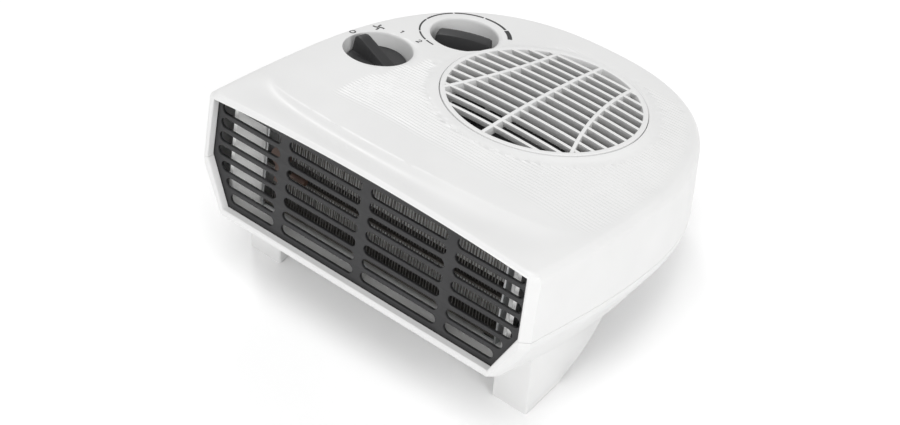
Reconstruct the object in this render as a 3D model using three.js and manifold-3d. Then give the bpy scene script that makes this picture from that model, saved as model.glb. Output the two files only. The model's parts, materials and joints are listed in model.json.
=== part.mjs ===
// Fan convector heater: a flat D-shaped case that leans back on two front legs,
// with a round air intake on top, a slotted outlet in front and two sunken knobs.
//
// Millimetres. World frame: +X to the heater's left-to-right width, +Y to its rear, +Z up,
// origin under the middle of the case at floor level.
// Case frame: u = X, v = back along the top face, w = square to the top face. The case group
// turns the case frame into the world frame, so every part below is written in u, v, w.
import * as THREE from 'three';
import { mergeVertices } from 'three/addons/utils/BufferGeometryUtils.js';
import Module from 'manifold-3d';

const wasm = await Module();
wasm.setup();

// ---- driving dimensions -----------------------------------------------------------------
const GAP = 0.3;                 // clearance between touching pieces
const WALL = 2.4;                // moulded case wall
const TILT = THREE.MathUtils.degToRad(12.2);   // lean of the case
const TOP_HEIGHT = 130.8;        // height of the top plane above the floor, at v = 0
const CENTRE_Y = 122.12;         // world Y of the case's middle, which becomes the origin

const HALF_WIDTH = 128;          // widest half width of the top outline
const WIDEST_V = 95;             // where the outline is widest
const FRONT_V = 9.5;             // front rim of the case
const BACK_REACH = 163;          // from the widest place to the rear edge
const BACK_POWER = 2.45;         // squareness of the round back
const FRONT_TAPER = 1 / 2100;    // how the sides close in towards the front
const CROWN = 4.5;               // rise of the top along its middle line
const EDGE_RADIUS = 6;           // rounded top edge
const DRAFT = 3.2;               // how far the sides lean out down to the parting line
const PARTING_W = -44;           // parting line between the two case halves
const LIP_W = -49;               // foot of the lower shell's upright lip
const BASE_FRONT_W = -79;        // bottom of the lower shell at the front
const BASE_BACK_W = -75.5;       // bottom of the lower shell at the back
const BASE_INSET = 14;           // how far the lower shell's sides lean in
const FRONT_TUCK = 2.5;          // how much further they lean in at the front

const PLATE_V = 15;              // front of the outlet grille
const PLATE_THICK = 2;
const MOUTH_TOP = [117.8, -2.9];   // outlet corners: half width, w
const MOUTH_KINK = [119.3, -43];
const MOUTH_BASE = [103.6, -74.3];
const MOUTH_ARCH = 4.9;          // rise of the outlet's top edge
const SLOT_ROWS = 7;
const SLOT_PITCH = 9.75;
const SLOT_HEIGHT = 6.6;
const SLOT_TOP_W = -8.6;         // middle of the top row
const BAR_PITCH = 63.5;          // upright bars of the outlet grille
const BAR_WIDTH = 6.4;

const FAN = [15, 162.3];         // fan axis: u, v
const INTAKE_RADIUS = 65;
const INTAKE_OPEN_RADIUS = 62;
const INTAKE_W = 4.6;            // top of the intake rim
const INTAKE_DOME = 2.6;
const SLAT_COUNT = 13;
const SLAT_PITCH = 8.7;
const SLAT_THICK = 2;
const SLAT_DEPTH = 5.5;
const SLAT_LEAN = 2.3;           // how far each slat leans back over its depth
const RIB_THICK = 2.4;
const RIB_DEPTH = 5;

const SELECTOR = [-93.9, 131.2]; // knob axes: u, v
const THERMOSTAT = [-71.3, 191.5];
const RECESS_RADIUS = 22.7;
const RECESS_FLOOR_RADIUS = 20.4;
const RECESS_FLOOR_W = -10.5;
const KNOB_RADIUS = 19.4;
const KNOB_TOP_W = -6.5;
const KNOB_BASE_W = -9.8;
const SELECTOR_AT = -80;         // where each pointer stands at rest, degrees clockwise from
const THERMOSTAT_AT = -116;      // the rear, seen from above
const SPINDLE_RADIUS = 2.3;
const SPINDLE_BASE_W = -28;
const SLEEVE_RADIUS = 4.4;       // the knob's sleeve round its spindle
const SLEEVE_BASE_W = -14;
const SWITCH_TOP_W = RECESS_FLOOR_W - WALL - GAP;

const DUCT_TOP_W = -3.4;
const DUCT_FLOOR_W = -74.6;
const DECK_W = -40;              // top of the deck under the fan
const DUCT_WALL = 1.8;
const DUCT_EARS = [[-51.5, 163], [93.7, 150]];   // where screws hold the duct to the case
const EAR_RADIUS = 6;
const EAR_THICK = 3;
const MOTOR_W = -58;             // middle of the motor's iron stack
const STACK_HALF = 8;
const SHAFT_RADIUS = 2;
const ROTOR_RADIUS = 13;
const BEARING_RADIUS = 4.1;
const BOLT_REACH = 19.5;         // from the fan axis to each motor screw
const BOLT_CLEAR_RADIUS = 1.9;
const BLADE_COUNT = 22;
const BLADE_TOP_W = -9;
const FAN_PLATE_W = -36.4;
const ELEMENT_V = [32, 46];
const ELEMENT_HALF = 91;
const ELEMENT_W = [-71.5, -14];
const ELEMENT_SCREW = [86, 39];  // foot screws of the element's end plates: u, v
const ELEMENT_SCREW_CLEAR = 1.8;
const SHEET = 1.2;               // thickness of the element's end plates

const LEG_U = [86.2, 112];       // front legs: inner and outer face
const LEG_TOP_Z = 58;            // the legs run up inside the shell to this height
const SCREW_SPOTS = [[-103, 38], [103, 38], [-60, 222], [78, 205]];
const PAD_SPOTS = [[-40, 230], [40, 230]];
const FAR = 400;                 // beyond the heater on every side

// ---- materials --------------------------------------------------------------------------
function material(color, roughness, metalness = 0) {
  return new THREE.MeshStandardMaterial({ color, roughness, metalness });
}
const FINISH = {
  white: [0xe9e9e8, 0.38],
  ductWhite: [0xdcdcd8, 0.6],
  black: [0x26262a, 0.45],
  knob: [0x2c2c2e, 0.42],
  rubber: [0x3b3b3b, 0.85],
  steel: [0xa9abad, 0.4, 0.9],
  iron: [0x6a6c70, 0.55, 0.8],
  brass: [0xb08d4a, 0.4, 0.9],
  copper: [0xa65a33, 0.45, 0.8],
  mica: [0x8d7f6a, 0.7],
  wire: [0x8b8580, 0.45, 0.8],
  bakelite: [0x3a2a22, 0.5],
  nylon: [0xd9d4c8, 0.5],
  fan: [0x2e2e30, 0.5],
};

// ---- geometry helpers -------------------------------------------------------------------
// a closed geometry as a solid, turned inside out if its faces point inwards
function toSolid(geometry) {
  const plain = geometry.clone();
  plain.deleteAttribute('normal');
  plain.deleteAttribute('uv');
  const merged = mergeVertices(plain, 1e-5);
  const triVerts = new Uint32Array(merged.index.array);
  const vertProperties = new Float32Array(merged.attributes.position.array);
  const solid = new wasm.Manifold(new wasm.Mesh({ numProp: 3, vertProperties, triVerts }));
  if (solid.volume() > 0) return solid;
  triVerts.reverse();
  return new wasm.Manifold(new wasm.Mesh({ numProp: 3, vertProperties, triVerts }));
}

function toGeometry(solid) {
  const mesh = solid.getMesh();
  const geometry = new THREE.BufferGeometry();
  geometry.setAttribute('position', new THREE.BufferAttribute(mesh.vertProperties, 3));
  geometry.setIndex(new THREE.BufferAttribute(mesh.triVerts, 1));
  return geometry;
}

const join = (...solids) => solids.reduce((all, one) => all.add(one));
const cut = (solid, ...tools) => tools.reduce((left, tool) => left.subtract(tool), solid);

// a box between two corners
function box(low, high) {
  const size = high.map((value, i) => value - low[i]);
  const geometry = new THREE.BoxGeometry(...size);
  geometry.translate(...low.map((value, i) => value + size[i] / 2));
  return toSolid(geometry);
}

// an upright cylinder or cone from w0 to w1
function post(u, v, w0, w1, radius, sides = 20, topRadius = radius) {
  const geometry = new THREE.CylinderGeometry(topRadius, radius, w1 - w0, sides);
  geometry.rotateX(Math.PI / 2);
  geometry.translate(u, v, (w0 + w1) / 2);
  return toSolid(geometry);
}

// a turned solid about an upright axis, from [radius, w] points: a profile that starts off
// the axis is closed into a ring
function turned(u, v, profile, sides = 48) {
  const closed = profile[0][0] > 0 ? [...profile, profile[0]] : profile;
  const geometry = new THREE.LatheGeometry(closed.map(([r, w]) => new THREE.Vector2(r, w)), sides);
  geometry.rotateX(Math.PI / 2);
  geometry.translate(u, v, 0);
  return toSolid(geometry);
}

// a plan outline of [u, v] points, raised from w0 to w1
function prismW(points, w0, w1, holes = []) {
  const shape = new THREE.Shape(points.map(([x, y]) => new THREE.Vector2(x, y)));
  for (const hole of holes) {
    shape.holes.push(new THREE.Path(hole.map(([x, y]) => new THREE.Vector2(x, y))));
  }
  const geometry = new THREE.ExtrudeGeometry(shape, { depth: w1 - w0, bevelEnabled: false });
  geometry.translate(0, 0, w0);
  return toSolid(geometry);
}

// a front outline of [u, w] points, taken back from v0 to v1
function prismV(points, v0, v1, holes = []) {
  const shape = new THREE.Shape(points.map(([x, y]) => new THREE.Vector2(x, y)));
  for (const hole of holes) {
    shape.holes.push(new THREE.Path(hole.map(([x, y]) => new THREE.Vector2(x, y))));
  }
  const geometry = new THREE.ExtrudeGeometry(shape, { depth: v1 - v0, bevelEnabled: false });
  geometry.rotateX(Math.PI / 2);
  geometry.translate(0, v1, 0);
  return toSolid(geometry);
}

// a side outline of [v, w] points, taken across from u0 to u1
function prismU(points, u0, u1) {
  const shape = new THREE.Shape(points.map(([x, y]) => new THREE.Vector2(x, y)));
  const geometry = new THREE.ExtrudeGeometry(shape, { depth: u1 - u0, bevelEnabled: false });
  geometry.rotateY(Math.PI / 2);
  geometry.rotateX(Math.PI / 2);
  geometry.translate(u0, 0, 0);
  return toSolid(geometry);
}

// a closed skin over rings of equal point counts, from the lowest ring to the highest
function loft(rings) {
  const count = rings[0].length;
  const position = [];
  const index = [];
  for (const ring of rings) {
    for (const point of ring) position.push(...point);
  }
  for (let r = 0; r + 1 < rings.length; r += 1) {
    for (let i = 0; i < count; i += 1) {
      const j = (i + 1) % count;
      const a = r * count + i;
      const b = r * count + j;
      index.push(a, b, b + count, a, b + count, a + count);
    }
  }
  const ends = [[rings[0], 0, false], [rings.at(-1), (rings.length - 1) * count, true]];
  for (const [ring, start, up] of ends) {
    const middle = position.length / 3;
    const sum = ring.reduce((t, p) => [t[0] + p[0], t[1] + p[1], t[2] + p[2]], [0, 0, 0]);
    position.push(...sum.map((value) => value / count));
    for (let i = 0; i < count; i += 1) {
      const j = (i + 1) % count;
      index.push(middle, start + (up ? i : j), start + (up ? j : i));
    }
  }
  const geometry = new THREE.BufferGeometry();
  geometry.setAttribute('position', new THREE.Float32BufferAttribute(position, 3));
  geometry.setIndex(index);
  return toSolid(geometry);
}

// ---- the case's shape -------------------------------------------------------------------
const SIDE_STEPS = 4;
const BACK_STEPS = 10;

// half width of the top outline at a distance v along the top
function halfWidth(v) {
  if (v <= WIDEST_V) return HALF_WIDTH - FRONT_TAPER * (WIDEST_V - v) ** 2;
  const t = Math.min(1, (v - WIDEST_V) / BACK_REACH);
  return HALF_WIDTH * (1 - t ** BACK_POWER) ** (1 / BACK_POWER);
}

// right half of the D outline, from its front corner to the middle of the back
function rightHalf() {
  const points = [];
  for (let i = 0; i <= SIDE_STEPS; i += 1) {
    const v = FRONT_V + (WIDEST_V - FRONT_V) * i / SIDE_STEPS;
    points.push([halfWidth(v), v]);
  }
  for (let i = 1; i <= BACK_STEPS; i += 1) {
    const a = (Math.PI / 2) * i / BACK_STEPS;
    points.push([
      HALF_WIDTH * Math.max(0, Math.cos(a)) ** (2 / BACK_POWER),
      WIDEST_V + BACK_REACH * Math.sin(a) ** (2 / BACK_POWER),
    ]);
  }
  return points;
}

// how far the sides stand outside the top outline at the parting line and at the base
const lean = (v) => DRAFT * (0.3 + 0.7 * THREE.MathUtils.smoothstep(v, FRONT_V, WIDEST_V));
const frontness = (v) => 1 - THREE.MathUtils.smoothstep(v, FRONT_V, 60);
const tuck = (v) => lean(v) - BASE_INSET - FRONT_TUCK * frontness(v);
const upright = () => 0;

// the whole outline grown by grow plus a side allowance, with rounded front corners
const FRONT_STEPS = 6;
const CORNER = 4;
function outline(grow, side = upright, frontGrow = grow) {
  const right = rightHalf().map(([u, v], i, all) => {
    const before = all[Math.max(0, i - 1)];
    const after = all[Math.min(all.length - 1, i + 1)];
    const along = [after[0] - before[0], after[1] - before[1]];
    const length = Math.hypot(...along);
    const out = i === all.length - 1 ? [0, 1] : [along[1] / length, -along[0] / length];
    const reach = grow + side(v);
    return [u + out[0] * reach, v + out[1] * reach];
  });
  const frontV = FRONT_V - frontGrow;
  const cornerU = right[0][0];
  right[0] = [cornerU, frontV + CORNER];
  const corner = [cornerU - CORNER * 0.3, frontV + CORNER * 0.3];
  const front = [];
  for (let i = 0; i <= FRONT_STEPS; i += 1) {
    front.push([(cornerU - CORNER) * (2 * i / FRONT_STEPS - 1), frontV]);
  }
  const left = right.slice(0, -1).reverse().map(([u, v]) => [-u, v]);
  return [...front, corner, ...right, ...left, [-corner[0], corner[1]]];
}

// rise of the top face over its flat plane
function crown(u, v) {
  const fade = 1 - 0.55 * THREE.MathUtils.smoothstep(v, 150, 258);
  return CROWN * fade * Math.max(0, 1 - (u / HALF_WIDTH) ** 2);
}

const level = (points, w) => points.map(([u, v]) => [u, v, w]);
const onTop = (points, drop) => points.map(([u, v]) => [u, v, crown(u, v) - drop]);
const BASE_SLOPE = (BASE_BACK_W - BASE_FRONT_W) / (WIDEST_V + BACK_REACH - FRONT_V);
const baseW = (v) => BASE_FRONT_W + BASE_SLOPE * (v - FRONT_V);
const onBase = (points, rise) => points.map(([u, v]) => [u, v, baseW(v) + rise]);

// shrinks an outline towards the middle of the case
const MIDDLE_V = 120;
function towardsMiddle(points, scale) {
  return points.map(([u, v]) => [u * scale, MIDDLE_V + (v - MIDDLE_V) * scale]);
}

// upper half of the case as a full block, grown by grow on every side
function upperBlock(grow, bottomW) {
  const rings = [level(outline(grow, lean), bottomW)];
  for (const angle of [0, 45, 90]) {
    const a = THREE.MathUtils.degToRad(angle);
    const inset = EDGE_RADIUS * (1 - Math.cos(a));
    const drop = EDGE_RADIUS * (1 - Math.sin(a)) - grow;
    rings.push(onTop(outline(grow - inset, upright, grow - inset * 0.5), drop));
  }
  const top = outline(grow - EDGE_RADIUS, upright, grow - EDGE_RADIUS * 0.5);
  for (const scale of [0.6, 0.2]) {
    rings.push(onTop(towardsMiddle(top, scale), -grow));
  }
  return loft(rings);
}

// lower half of the case as a full block, grown by grow on every side
function lowerBlock(grow, topW) {
  return loft([
    onBase(towardsMiddle(outline(grow, tuck), 0.5), -grow),
    onBase(outline(grow - 1.5, tuck, grow - 1), -grow),
    onBase(outline(grow, tuck), 1.5 - grow),
    level(outline(grow, lean), LIP_W),
    level(outline(grow, lean), topW),
  ]);
}

// the outlet's six-sided outline grown by grow, its top edge arched
function mouth(grow) {
  const [topU, topW] = MOUTH_TOP;
  const [kinkU, kinkW] = MOUTH_KINK;
  const [baseU, baseEdgeW] = MOUTH_BASE;
  const points = [
    [-baseU - grow * 0.6, baseEdgeW - grow],
    [baseU + grow * 0.6, baseEdgeW - grow],
    [kinkU + grow, kinkW],
    [topU + grow, topW + grow],
  ];
  const arch = 6;
  for (let i = 1; i < arch; i += 1) {
    const t = 1 - 2 * i / arch;
    points.push([(topU + grow) * t, topW + grow + MOUTH_ARCH * (1 - t * t)]);
  }
  points.push([-topU - grow, topW + grow], [-kinkU - grow, kinkW]);
  return points;
}

// half width of the outlet at a height w
function mouthHalf(w) {
  const [upper, lower] = w > MOUTH_KINK[1] ? [MOUTH_TOP, MOUTH_KINK] : [MOUTH_KINK, MOUTH_BASE];
  return THREE.MathUtils.mapLinear(w, upper[1], lower[1], upper[0], lower[0]);
}

// ---- floor and world helpers ------------------------------------------------------------
const SIN = Math.sin(TILT);
const COS = Math.cos(TILT);
// case v, w of a world point y (before centring), z
function fromWorld([y, z]) {
  const rise = z - TOP_HEIGHT;
  return [y * COS - rise * SIN, y * SIN + rise * COS];
}

// ---- case -------------------------------------------------------------------------------
const SCREW_RADIUS = 1.9;
const PILOT_RADIUS = 2.2;
const HEAD_RADIUS = 3.9;
const PILLAR_RADIUS = 5;
const COLLAR_BACK_V = 19.2;
const GROOVE = 1.2;              // how deep the case grips the outlet grille's edge
const GROOVE_V = [PLATE_V - GAP, PLATE_V + PLATE_THICK + GAP];
const INLET = [-30, -46];        // cord inlet in the back wall: u, w
const INLET_RADIUS = 5.8;

const inletHole = (radius, v0, v1) => {
  const geometry = new THREE.CylinderGeometry(radius, radius, v1 - v0, 24);
  geometry.translate(INLET[0], (v0 + v1) / 2, INLET[1]);
  return toSolid(geometry);
};

function frontCollar(block) {
  return prismV(mouth(3.6), FRONT_V + 1, COLLAR_BACK_V).intersect(block);
}

function cutMouth(shell) {
  return cut(shell, prismV(mouth(0), -20, COLLAR_BACK_V + 3), prismV(mouth(GROOVE), ...GROOVE_V));
}

function recessOutside([u, v]) {
  return post(u, v, RECESS_FLOOR_W - WALL, 1, RECESS_FLOOR_RADIUS + 2, 28, RECESS_RADIUS + 2.4);
}

function recessInside([u, v]) {
  const bowl = turned(u, v, [
    [0, RECESS_FLOOR_W], [RECESS_FLOOR_RADIUS, RECESS_FLOOR_W], [RECESS_RADIUS - 0.5, -2],
    [RECESS_RADIUS + 1, 1.5], [RECESS_RADIUS + 6, 8], [0, 8],
  ], 36);
  return bowl.add(post(u, v, RECESS_FLOOR_W - 4, RECESS_FLOOR_W + 1, 5, 24));
}

function topCover() {
  const outer = upperBlock(0, PARTING_W + GAP / 2);
  let shell = cut(outer, upperBlock(-WALL, PARTING_W - 2));
  shell = cutMouth(join(shell, frontCollar(outer)));
  const [fu, fv] = FAN;
  const pad = turned(fu, fv, [
    [0, -4], [INTAKE_RADIUS + 2.5, -4], [INTAKE_RADIUS + 4, 0.5], [INTAKE_RADIUS + 4, 1.5],
    [INTAKE_RADIUS + 1.2, INTAKE_W - 0.3], [0, INTAKE_W - 0.3],
  ], 56);
  shell = join(shell, pad, recessOutside(SELECTOR), recessOutside(THERMOSTAT));
  shell = cut(
    shell,
    post(fu, fv, -1.5, 9, INTAKE_RADIUS + GAP, 56),
    post(fu, fv, -9, 9, INTAKE_OPEN_RADIUS, 56),
    recessInside(SELECTOR),
    recessInside(THERMOSTAT),
    inletHole(INLET_RADIUS, 240, 270),
  );
  for (const [u, v] of SCREW_SPOTS) {
    const boss = post(u, v, PARTING_W + 4, CROWN, PILLAR_RADIUS, 12);
    shell = cut(join(shell, boss.intersect(outer)), post(u, v, PARTING_W, -12, PILOT_RADIUS, 12));
  }
  return shell;
}

// one hollow front leg: a fin that runs back into the shell's underside
function legSide(thin) {
  const front = 21.4 + thin;
  const heel = 53 - thin;
  const slant = 6.2;
  const steps = 6;
  const points = [[front + slant, LEG_TOP_Z], [front, thin], [heel, thin]];
  for (let i = 1; i <= steps; i += 1) {
    const t = i / steps;
    points.push([heel + 42 * t ** 0.72, thin + 3 + 20 * t ** 1.5]);
  }
  points.push([100, LEG_TOP_Z]);
  return points.map(fromWorld);
}

function legSpan(side) {
  const [inner, outer] = LEG_U;
  return side > 0 ? [inner, outer] : [-outer, -inner];
}

function bottomShell() {
  const outer = lowerBlock(0, PARTING_W - GAP / 2);
  let block = outer;
  for (const side of [-1, 1]) {
    const [low, high] = legSpan(side);
    block = join(block, cut(prismU(legSide(0), low, high), box([-FAR, -FAR, -60], [FAR, FAR, FAR])));
  }
  let hollow = lowerBlock(-WALL, PARTING_W + 2);
  for (const side of [-1, 1]) {
    const [low, high] = legSpan(side);
    const room = prismU(legSide(WALL), low + WALL, high - WALL);
    hollow = join(hollow, cut(room, box([-FAR, -FAR, -64], [FAR, FAR, FAR])));
  }
  let shell = cut(block, hollow);
  shell = cutMouth(join(shell, frontCollar(outer)));
  for (const [u, v] of SCREW_SPOTS) {
    const pillar = post(u, v, baseW(v) + 1, PARTING_W + 3.6, PILLAR_RADIUS, 16);
    shell = join(shell, cut(pillar, box([-FAR, -FAR, PARTING_W + 3.6], [FAR, FAR, FAR])));
    shell = cut(
      shell,
      post(u, v, baseW(v) - 3, baseW(v) + 5, HEAD_RADIUS + GAP, 16),
      post(u, v, baseW(v), PARTING_W + 5, PILOT_RADIUS, 12),
    );
  }
  for (const [u, v] of DUCT_EARS) {
    shell = join(shell, post(u, v, baseW(v) + 1, DECK_W - EAR_THICK - GAP, 4.4, 14));
    shell = cut(shell, post(u, v, baseW(v) + 6, DECK_W, PILOT_RADIUS - 0.3, 10));
  }
  return cut(shell, inletHole(INLET_RADIUS, 240, 270));
}

function frontGrille() {
  const bars = [-1, 0, 1].map((i) => i * BAR_PITCH);
  const holes = [];
  for (let row = 0; row < SLOT_ROWS; row += 1) {
    const w = SLOT_TOP_W - row * SLOT_PITCH;
    const end = Math.min(mouthHalf(w - SLOT_HEIGHT / 2), mouthHalf(w + SLOT_HEIGHT / 2)) - 3;
    const edges = [-end - BAR_WIDTH / 2, ...bars, end + BAR_WIDTH / 2];
    for (let i = 0; i + 1 < edges.length; i += 1) {
      const slot = new THREE.Path();
      const radius = SLOT_HEIGHT / 2;
      slot.absarc(edges[i] + BAR_WIDTH / 2 + radius, w, radius, Math.PI / 2, 1.5 * Math.PI, false);
      slot.absarc(edges[i + 1] - BAR_WIDTH / 2 - radius, w, radius, -Math.PI / 2, Math.PI / 2, false);
      slot.closePath();
      holes.push(slot.getPoints(3).slice(0, -1).map((p) => [p.x, p.y]));
    }
  }
  return prismV(mouth(GROOVE - GAP), PLATE_V, PLATE_V + PLATE_THICK, holes);
}

// ---- intake grille ----------------------------------------------------------------------
function domeW(du, dv) {
  const share = (du * du + dv * dv) / INTAKE_OPEN_RADIUS ** 2;
  return INTAKE_W + GAP + INTAKE_DOME * Math.max(0, 1 - share);
}
function slat(index) {
  const dv = (index - (SLAT_COUNT - 1) / 2) * SLAT_PITCH;
  const reach = Math.sqrt((INTAKE_OPEN_RADIUS + 1) ** 2 - dv * dv);
  const rings = [];
  for (let i = 0; i <= 4; i += 1) {
    const du = reach * (i / 2 - 1);
    const top = domeW(du, dv);
    const [u, v] = [FAN[0] + du, FAN[1] + dv];
    rings.push([
      [u, v - SLAT_THICK / 2, top], [u, v + SLAT_THICK / 2, top],
      [u, v + SLAT_THICK / 2 + SLAT_LEAN, top - SLAT_DEPTH],
      [u, v - SLAT_THICK / 2 + SLAT_LEAN, top - SLAT_DEPTH],
    ]);
  }
  return loft(rings);
}

// the ribs fan out towards the front: side -1, 0 or 1
function rib(side) {
  const rings = [];
  for (let i = 0; i <= 6; i += 1) {
    const dv = (INTAKE_OPEN_RADIUS + 1) * (i / 3 - 1);
    const du = side * (35.8 - 0.248 * dv + 0.00224 * dv * dv);
    const top = domeW(du, dv) + 0.25;
    const [u, v] = [FAN[0] + du, FAN[1] + dv];
    const [left, right] = [u - RIB_THICK / 2, u + RIB_THICK / 2];
    rings.push([[left, v, top - RIB_DEPTH], [right, v, top - RIB_DEPTH], [right, v, top], [left, v, top]]);
  }
  return loft(rings);
}

function intakeGrille() {
  const ring = turned(...FAN, [
    [INTAKE_OPEN_RADIUS - 0.4, -1.2], [INTAKE_RADIUS, -1.2], [INTAKE_RADIUS, INTAKE_W],
    [INTAKE_RADIUS - 0.6, INTAKE_W + 0.5], [INTAKE_OPEN_RADIUS - 0.4, INTAKE_W + 0.5],
  ], 56);
  let grating = join(rib(-1), rib(0), rib(1));
  for (let i = 0; i < SLAT_COUNT; i += 1) grating = grating.add(slat(i));
  return grating.intersect(post(...FAN, -20, 20, INTAKE_OPEN_RADIUS + 0.5, 56)).add(ring);
}

// ---- knobs and what they turn -----------------------------------------------------------
// a disc with a tall finger fin; the fin's high end is the pointer
function knob([u, v], pointerDegrees, finSide, finHalf) {
  const disc = turned(0, 0, [
    [0, KNOB_BASE_W], [KNOB_RADIUS - 0.8, KNOB_BASE_W], [KNOB_RADIUS, KNOB_BASE_W + 0.8],
    [KNOB_RADIUS, KNOB_TOP_W - 1], [KNOB_RADIUS - 1, KNOB_TOP_W], [0, KNOB_TOP_W + 0.6],
  ], 36);
  const room = post(0, 0, -20, 20, KNOB_RADIUS - 0.4, 36);
  const fin = prismU(finSide, -finHalf, finHalf).intersect(room);
  const sleeve = post(0, 0, SLEEVE_BASE_W, KNOB_BASE_W + 1, SLEEVE_RADIUS, 18);
  const bore = post(0, 0, SLEEVE_BASE_W - 1, KNOB_TOP_W - 1.5, SPINDLE_RADIUS + GAP, 16);
  const geometry = toGeometry(cut(join(disc, fin, sleeve), bore));
  geometry.rotateZ(-THREE.MathUtils.degToRad(pointerDegrees));
  geometry.translate(u, v, 0);
  return toSolid(geometry);
}

const SELECTOR_FIN = [
  [-20, KNOB_TOP_W - 1], [20, KNOB_TOP_W - 1], [20, 0.5], [17.5, 3.4],
  [12, 3.6], [4, 2.2], [-8, -2], [-20, -5.4],
];
const THERMOSTAT_FIN = [
  [-20, KNOB_TOP_W - 1], [20, KNOB_TOP_W - 1], [20, -2.4], [17, 0.4],
  [6, 1.6], [-6, 1.6], [-17, 0.4], [-20, -2.4],
];

const spindle = ([u, v]) => post(u, v, SPINDLE_BASE_W, KNOB_TOP_W - 1.5 - GAP, SPINDLE_RADIUS, 16);

function selectorSwitch() {
  const [u, v] = SELECTOR;
  const body = post(u, v, SWITCH_TOP_W - 17, SWITCH_TOP_W - 2, 15.5, 28);
  const neck = post(u, v, SWITCH_TOP_W - 3, SWITCH_TOP_W, 8, 20);
  const ears = box([u - 4, v - 18, SWITCH_TOP_W - 5], [u + 4, v + 18, SWITCH_TOP_W - 2]);
  return cut(join(body, neck, ears), post(u, v, SPINDLE_BASE_W - GAP, 0, SLEEVE_RADIUS + GAP, 18));
}

function switchTerminal(index) {
  const [u, v] = SELECTOR;
  const at = u + (index - 1) * 8;
  return box([at - 2.4, v - 0.4, SWITCH_TOP_W - 26], [at + 2.4, v + 0.4, SWITCH_TOP_W - 17 - GAP]);
}

function thermostatFrame() {
  const [u, v] = THERMOSTAT;
  const plate = box([u - 11, v - 13, SWITCH_TOP_W - 1.6], [u + 11, v + 13, SWITCH_TOP_W]);
  const bush = post(u, v, SWITCH_TOP_W - 9, SWITCH_TOP_W - 1, 7, 20);
  return cut(join(plate, bush), post(u, v, SWITCH_TOP_W - 12, 2, SLEEVE_RADIUS + GAP, 18));
}

const STRIP_W = SPINDLE_BASE_W - 1.5;
const STRIP_STEP = 3.5;
function thermostatStack() {
  const [u, v] = THERMOSTAT;
  return box([u - 5, v - 13, STRIP_W - 8], [u + 5, v - 8, SWITCH_TOP_W - 1.6 - GAP]);
}

function thermostatStrip(index) {
  const [u, v] = THERMOSTAT;
  const w = STRIP_W - index * STRIP_STEP;
  return box([u - 3.5, v - 8 + GAP, w - 0.5], [u + 3.5, v + 15, w]);
}

// ---- air duct ---------------------------------------------------------------------------
// plan of the air path grown by grow: flared mouth, straight throat, spiral round the fan
function ductPlan(grow, front) {
  const points = [[107 + grow, front], [95 + grow, 34], [94 + grow, 100]];
  for (let i = 0; i <= 14; i += 1) {
    const degrees = 98 - 196 * i / 14;
    const radius = 59 + 13 * (degrees + 98) / 196 + grow;
    const a = THREE.MathUtils.degToRad(degrees);
    points.push([FAN[0] + radius * Math.sin(a), FAN[1] + radius * Math.cos(a)]);
  }
  points.push([-49 - grow, 122], [-70 - grow, 84], [-95 - grow, 56]);
  points.push([-95 - grow, 34], [-107 - grow, front]);
  return points;
}

function airDuct() {
  const front = COLLAR_BACK_V + 0.5;
  const reach = 300;
  const outerSide = [
    [0, DUCT_FLOOR_W - DUCT_WALL], [62, DUCT_FLOOR_W - DUCT_WALL], [104, DECK_W - DUCT_WALL],
    [reach, DECK_W - DUCT_WALL], [reach, DUCT_TOP_W], [0, DUCT_TOP_W],
  ];
  const innerSide = [
    [-10, DUCT_FLOOR_W], [61, DUCT_FLOOR_W], [103, DECK_W], [reach + 10, DECK_W],
    [reach + 10, 20], [-10, 20],
  ];
  const wallPlan = prismW(ductPlan(DUCT_WALL, front), -90, 0);
  const airPlan = prismW(ductPlan(0, front - 1), -90, 20);
  const inside = lowerBlock(-WALL - GAP, 20);
  const outer = wallPlan.intersect(prismU(outerSide, -150, 150)).intersect(inside);
  const inner = airPlan.intersect(prismU(innerSide, -151, 151));
  let duct = cut(outer, inner, post(...FAN, DECK_W - 5, DECK_W + 1, 21, 28));
  for (const side of [-1, 1]) {
    const boltU = FAN[0] + side * BOLT_REACH;
    const [screwU, screwV] = ELEMENT_SCREW;
    duct = join(duct, post(boltU, FAN[1], DECK_W - 8, DECK_W - 1, 3.4, 14));
    duct = cut(duct, post(boltU, FAN[1], DECK_W - 9, DECK_W - 2, 1.8, 10));
    duct = cut(duct, post(side * screwU, screwV, -90, -60, ELEMENT_SCREW_CLEAR, 12));
  }
  const clearance = join(
    post(...FAN, DUCT_TOP_W - 1.6, 5, INTAKE_RADIUS + 4.5, 48),
    recessOutside(SELECTOR),
    recessOutside(THERMOSTAT),
  );
  const pillars = SCREW_SPOTS.map(([u, v]) => post(u, v, -90, 5, PILLAR_RADIUS + GAP, 16));
  duct = cut(duct, clearance, ...pillars);
  for (const [u, v] of DUCT_EARS) {
    duct = join(duct, cut(post(u, v, DECK_W - EAR_THICK, DECK_W, EAR_RADIUS, 16), inner));
    duct = cut(duct, post(u, v, DECK_W - 5, DECK_W + 2, PILOT_RADIUS, 12));
  }
  const terminalHole = new THREE.CylinderGeometry(3, 3, 8, 14);
  terminalHole.rotateZ(Math.PI / 2);
  terminalHole.translate(-96, 51.5, -58);
  return cut(duct, toSolid(terminalHole));
}

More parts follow.
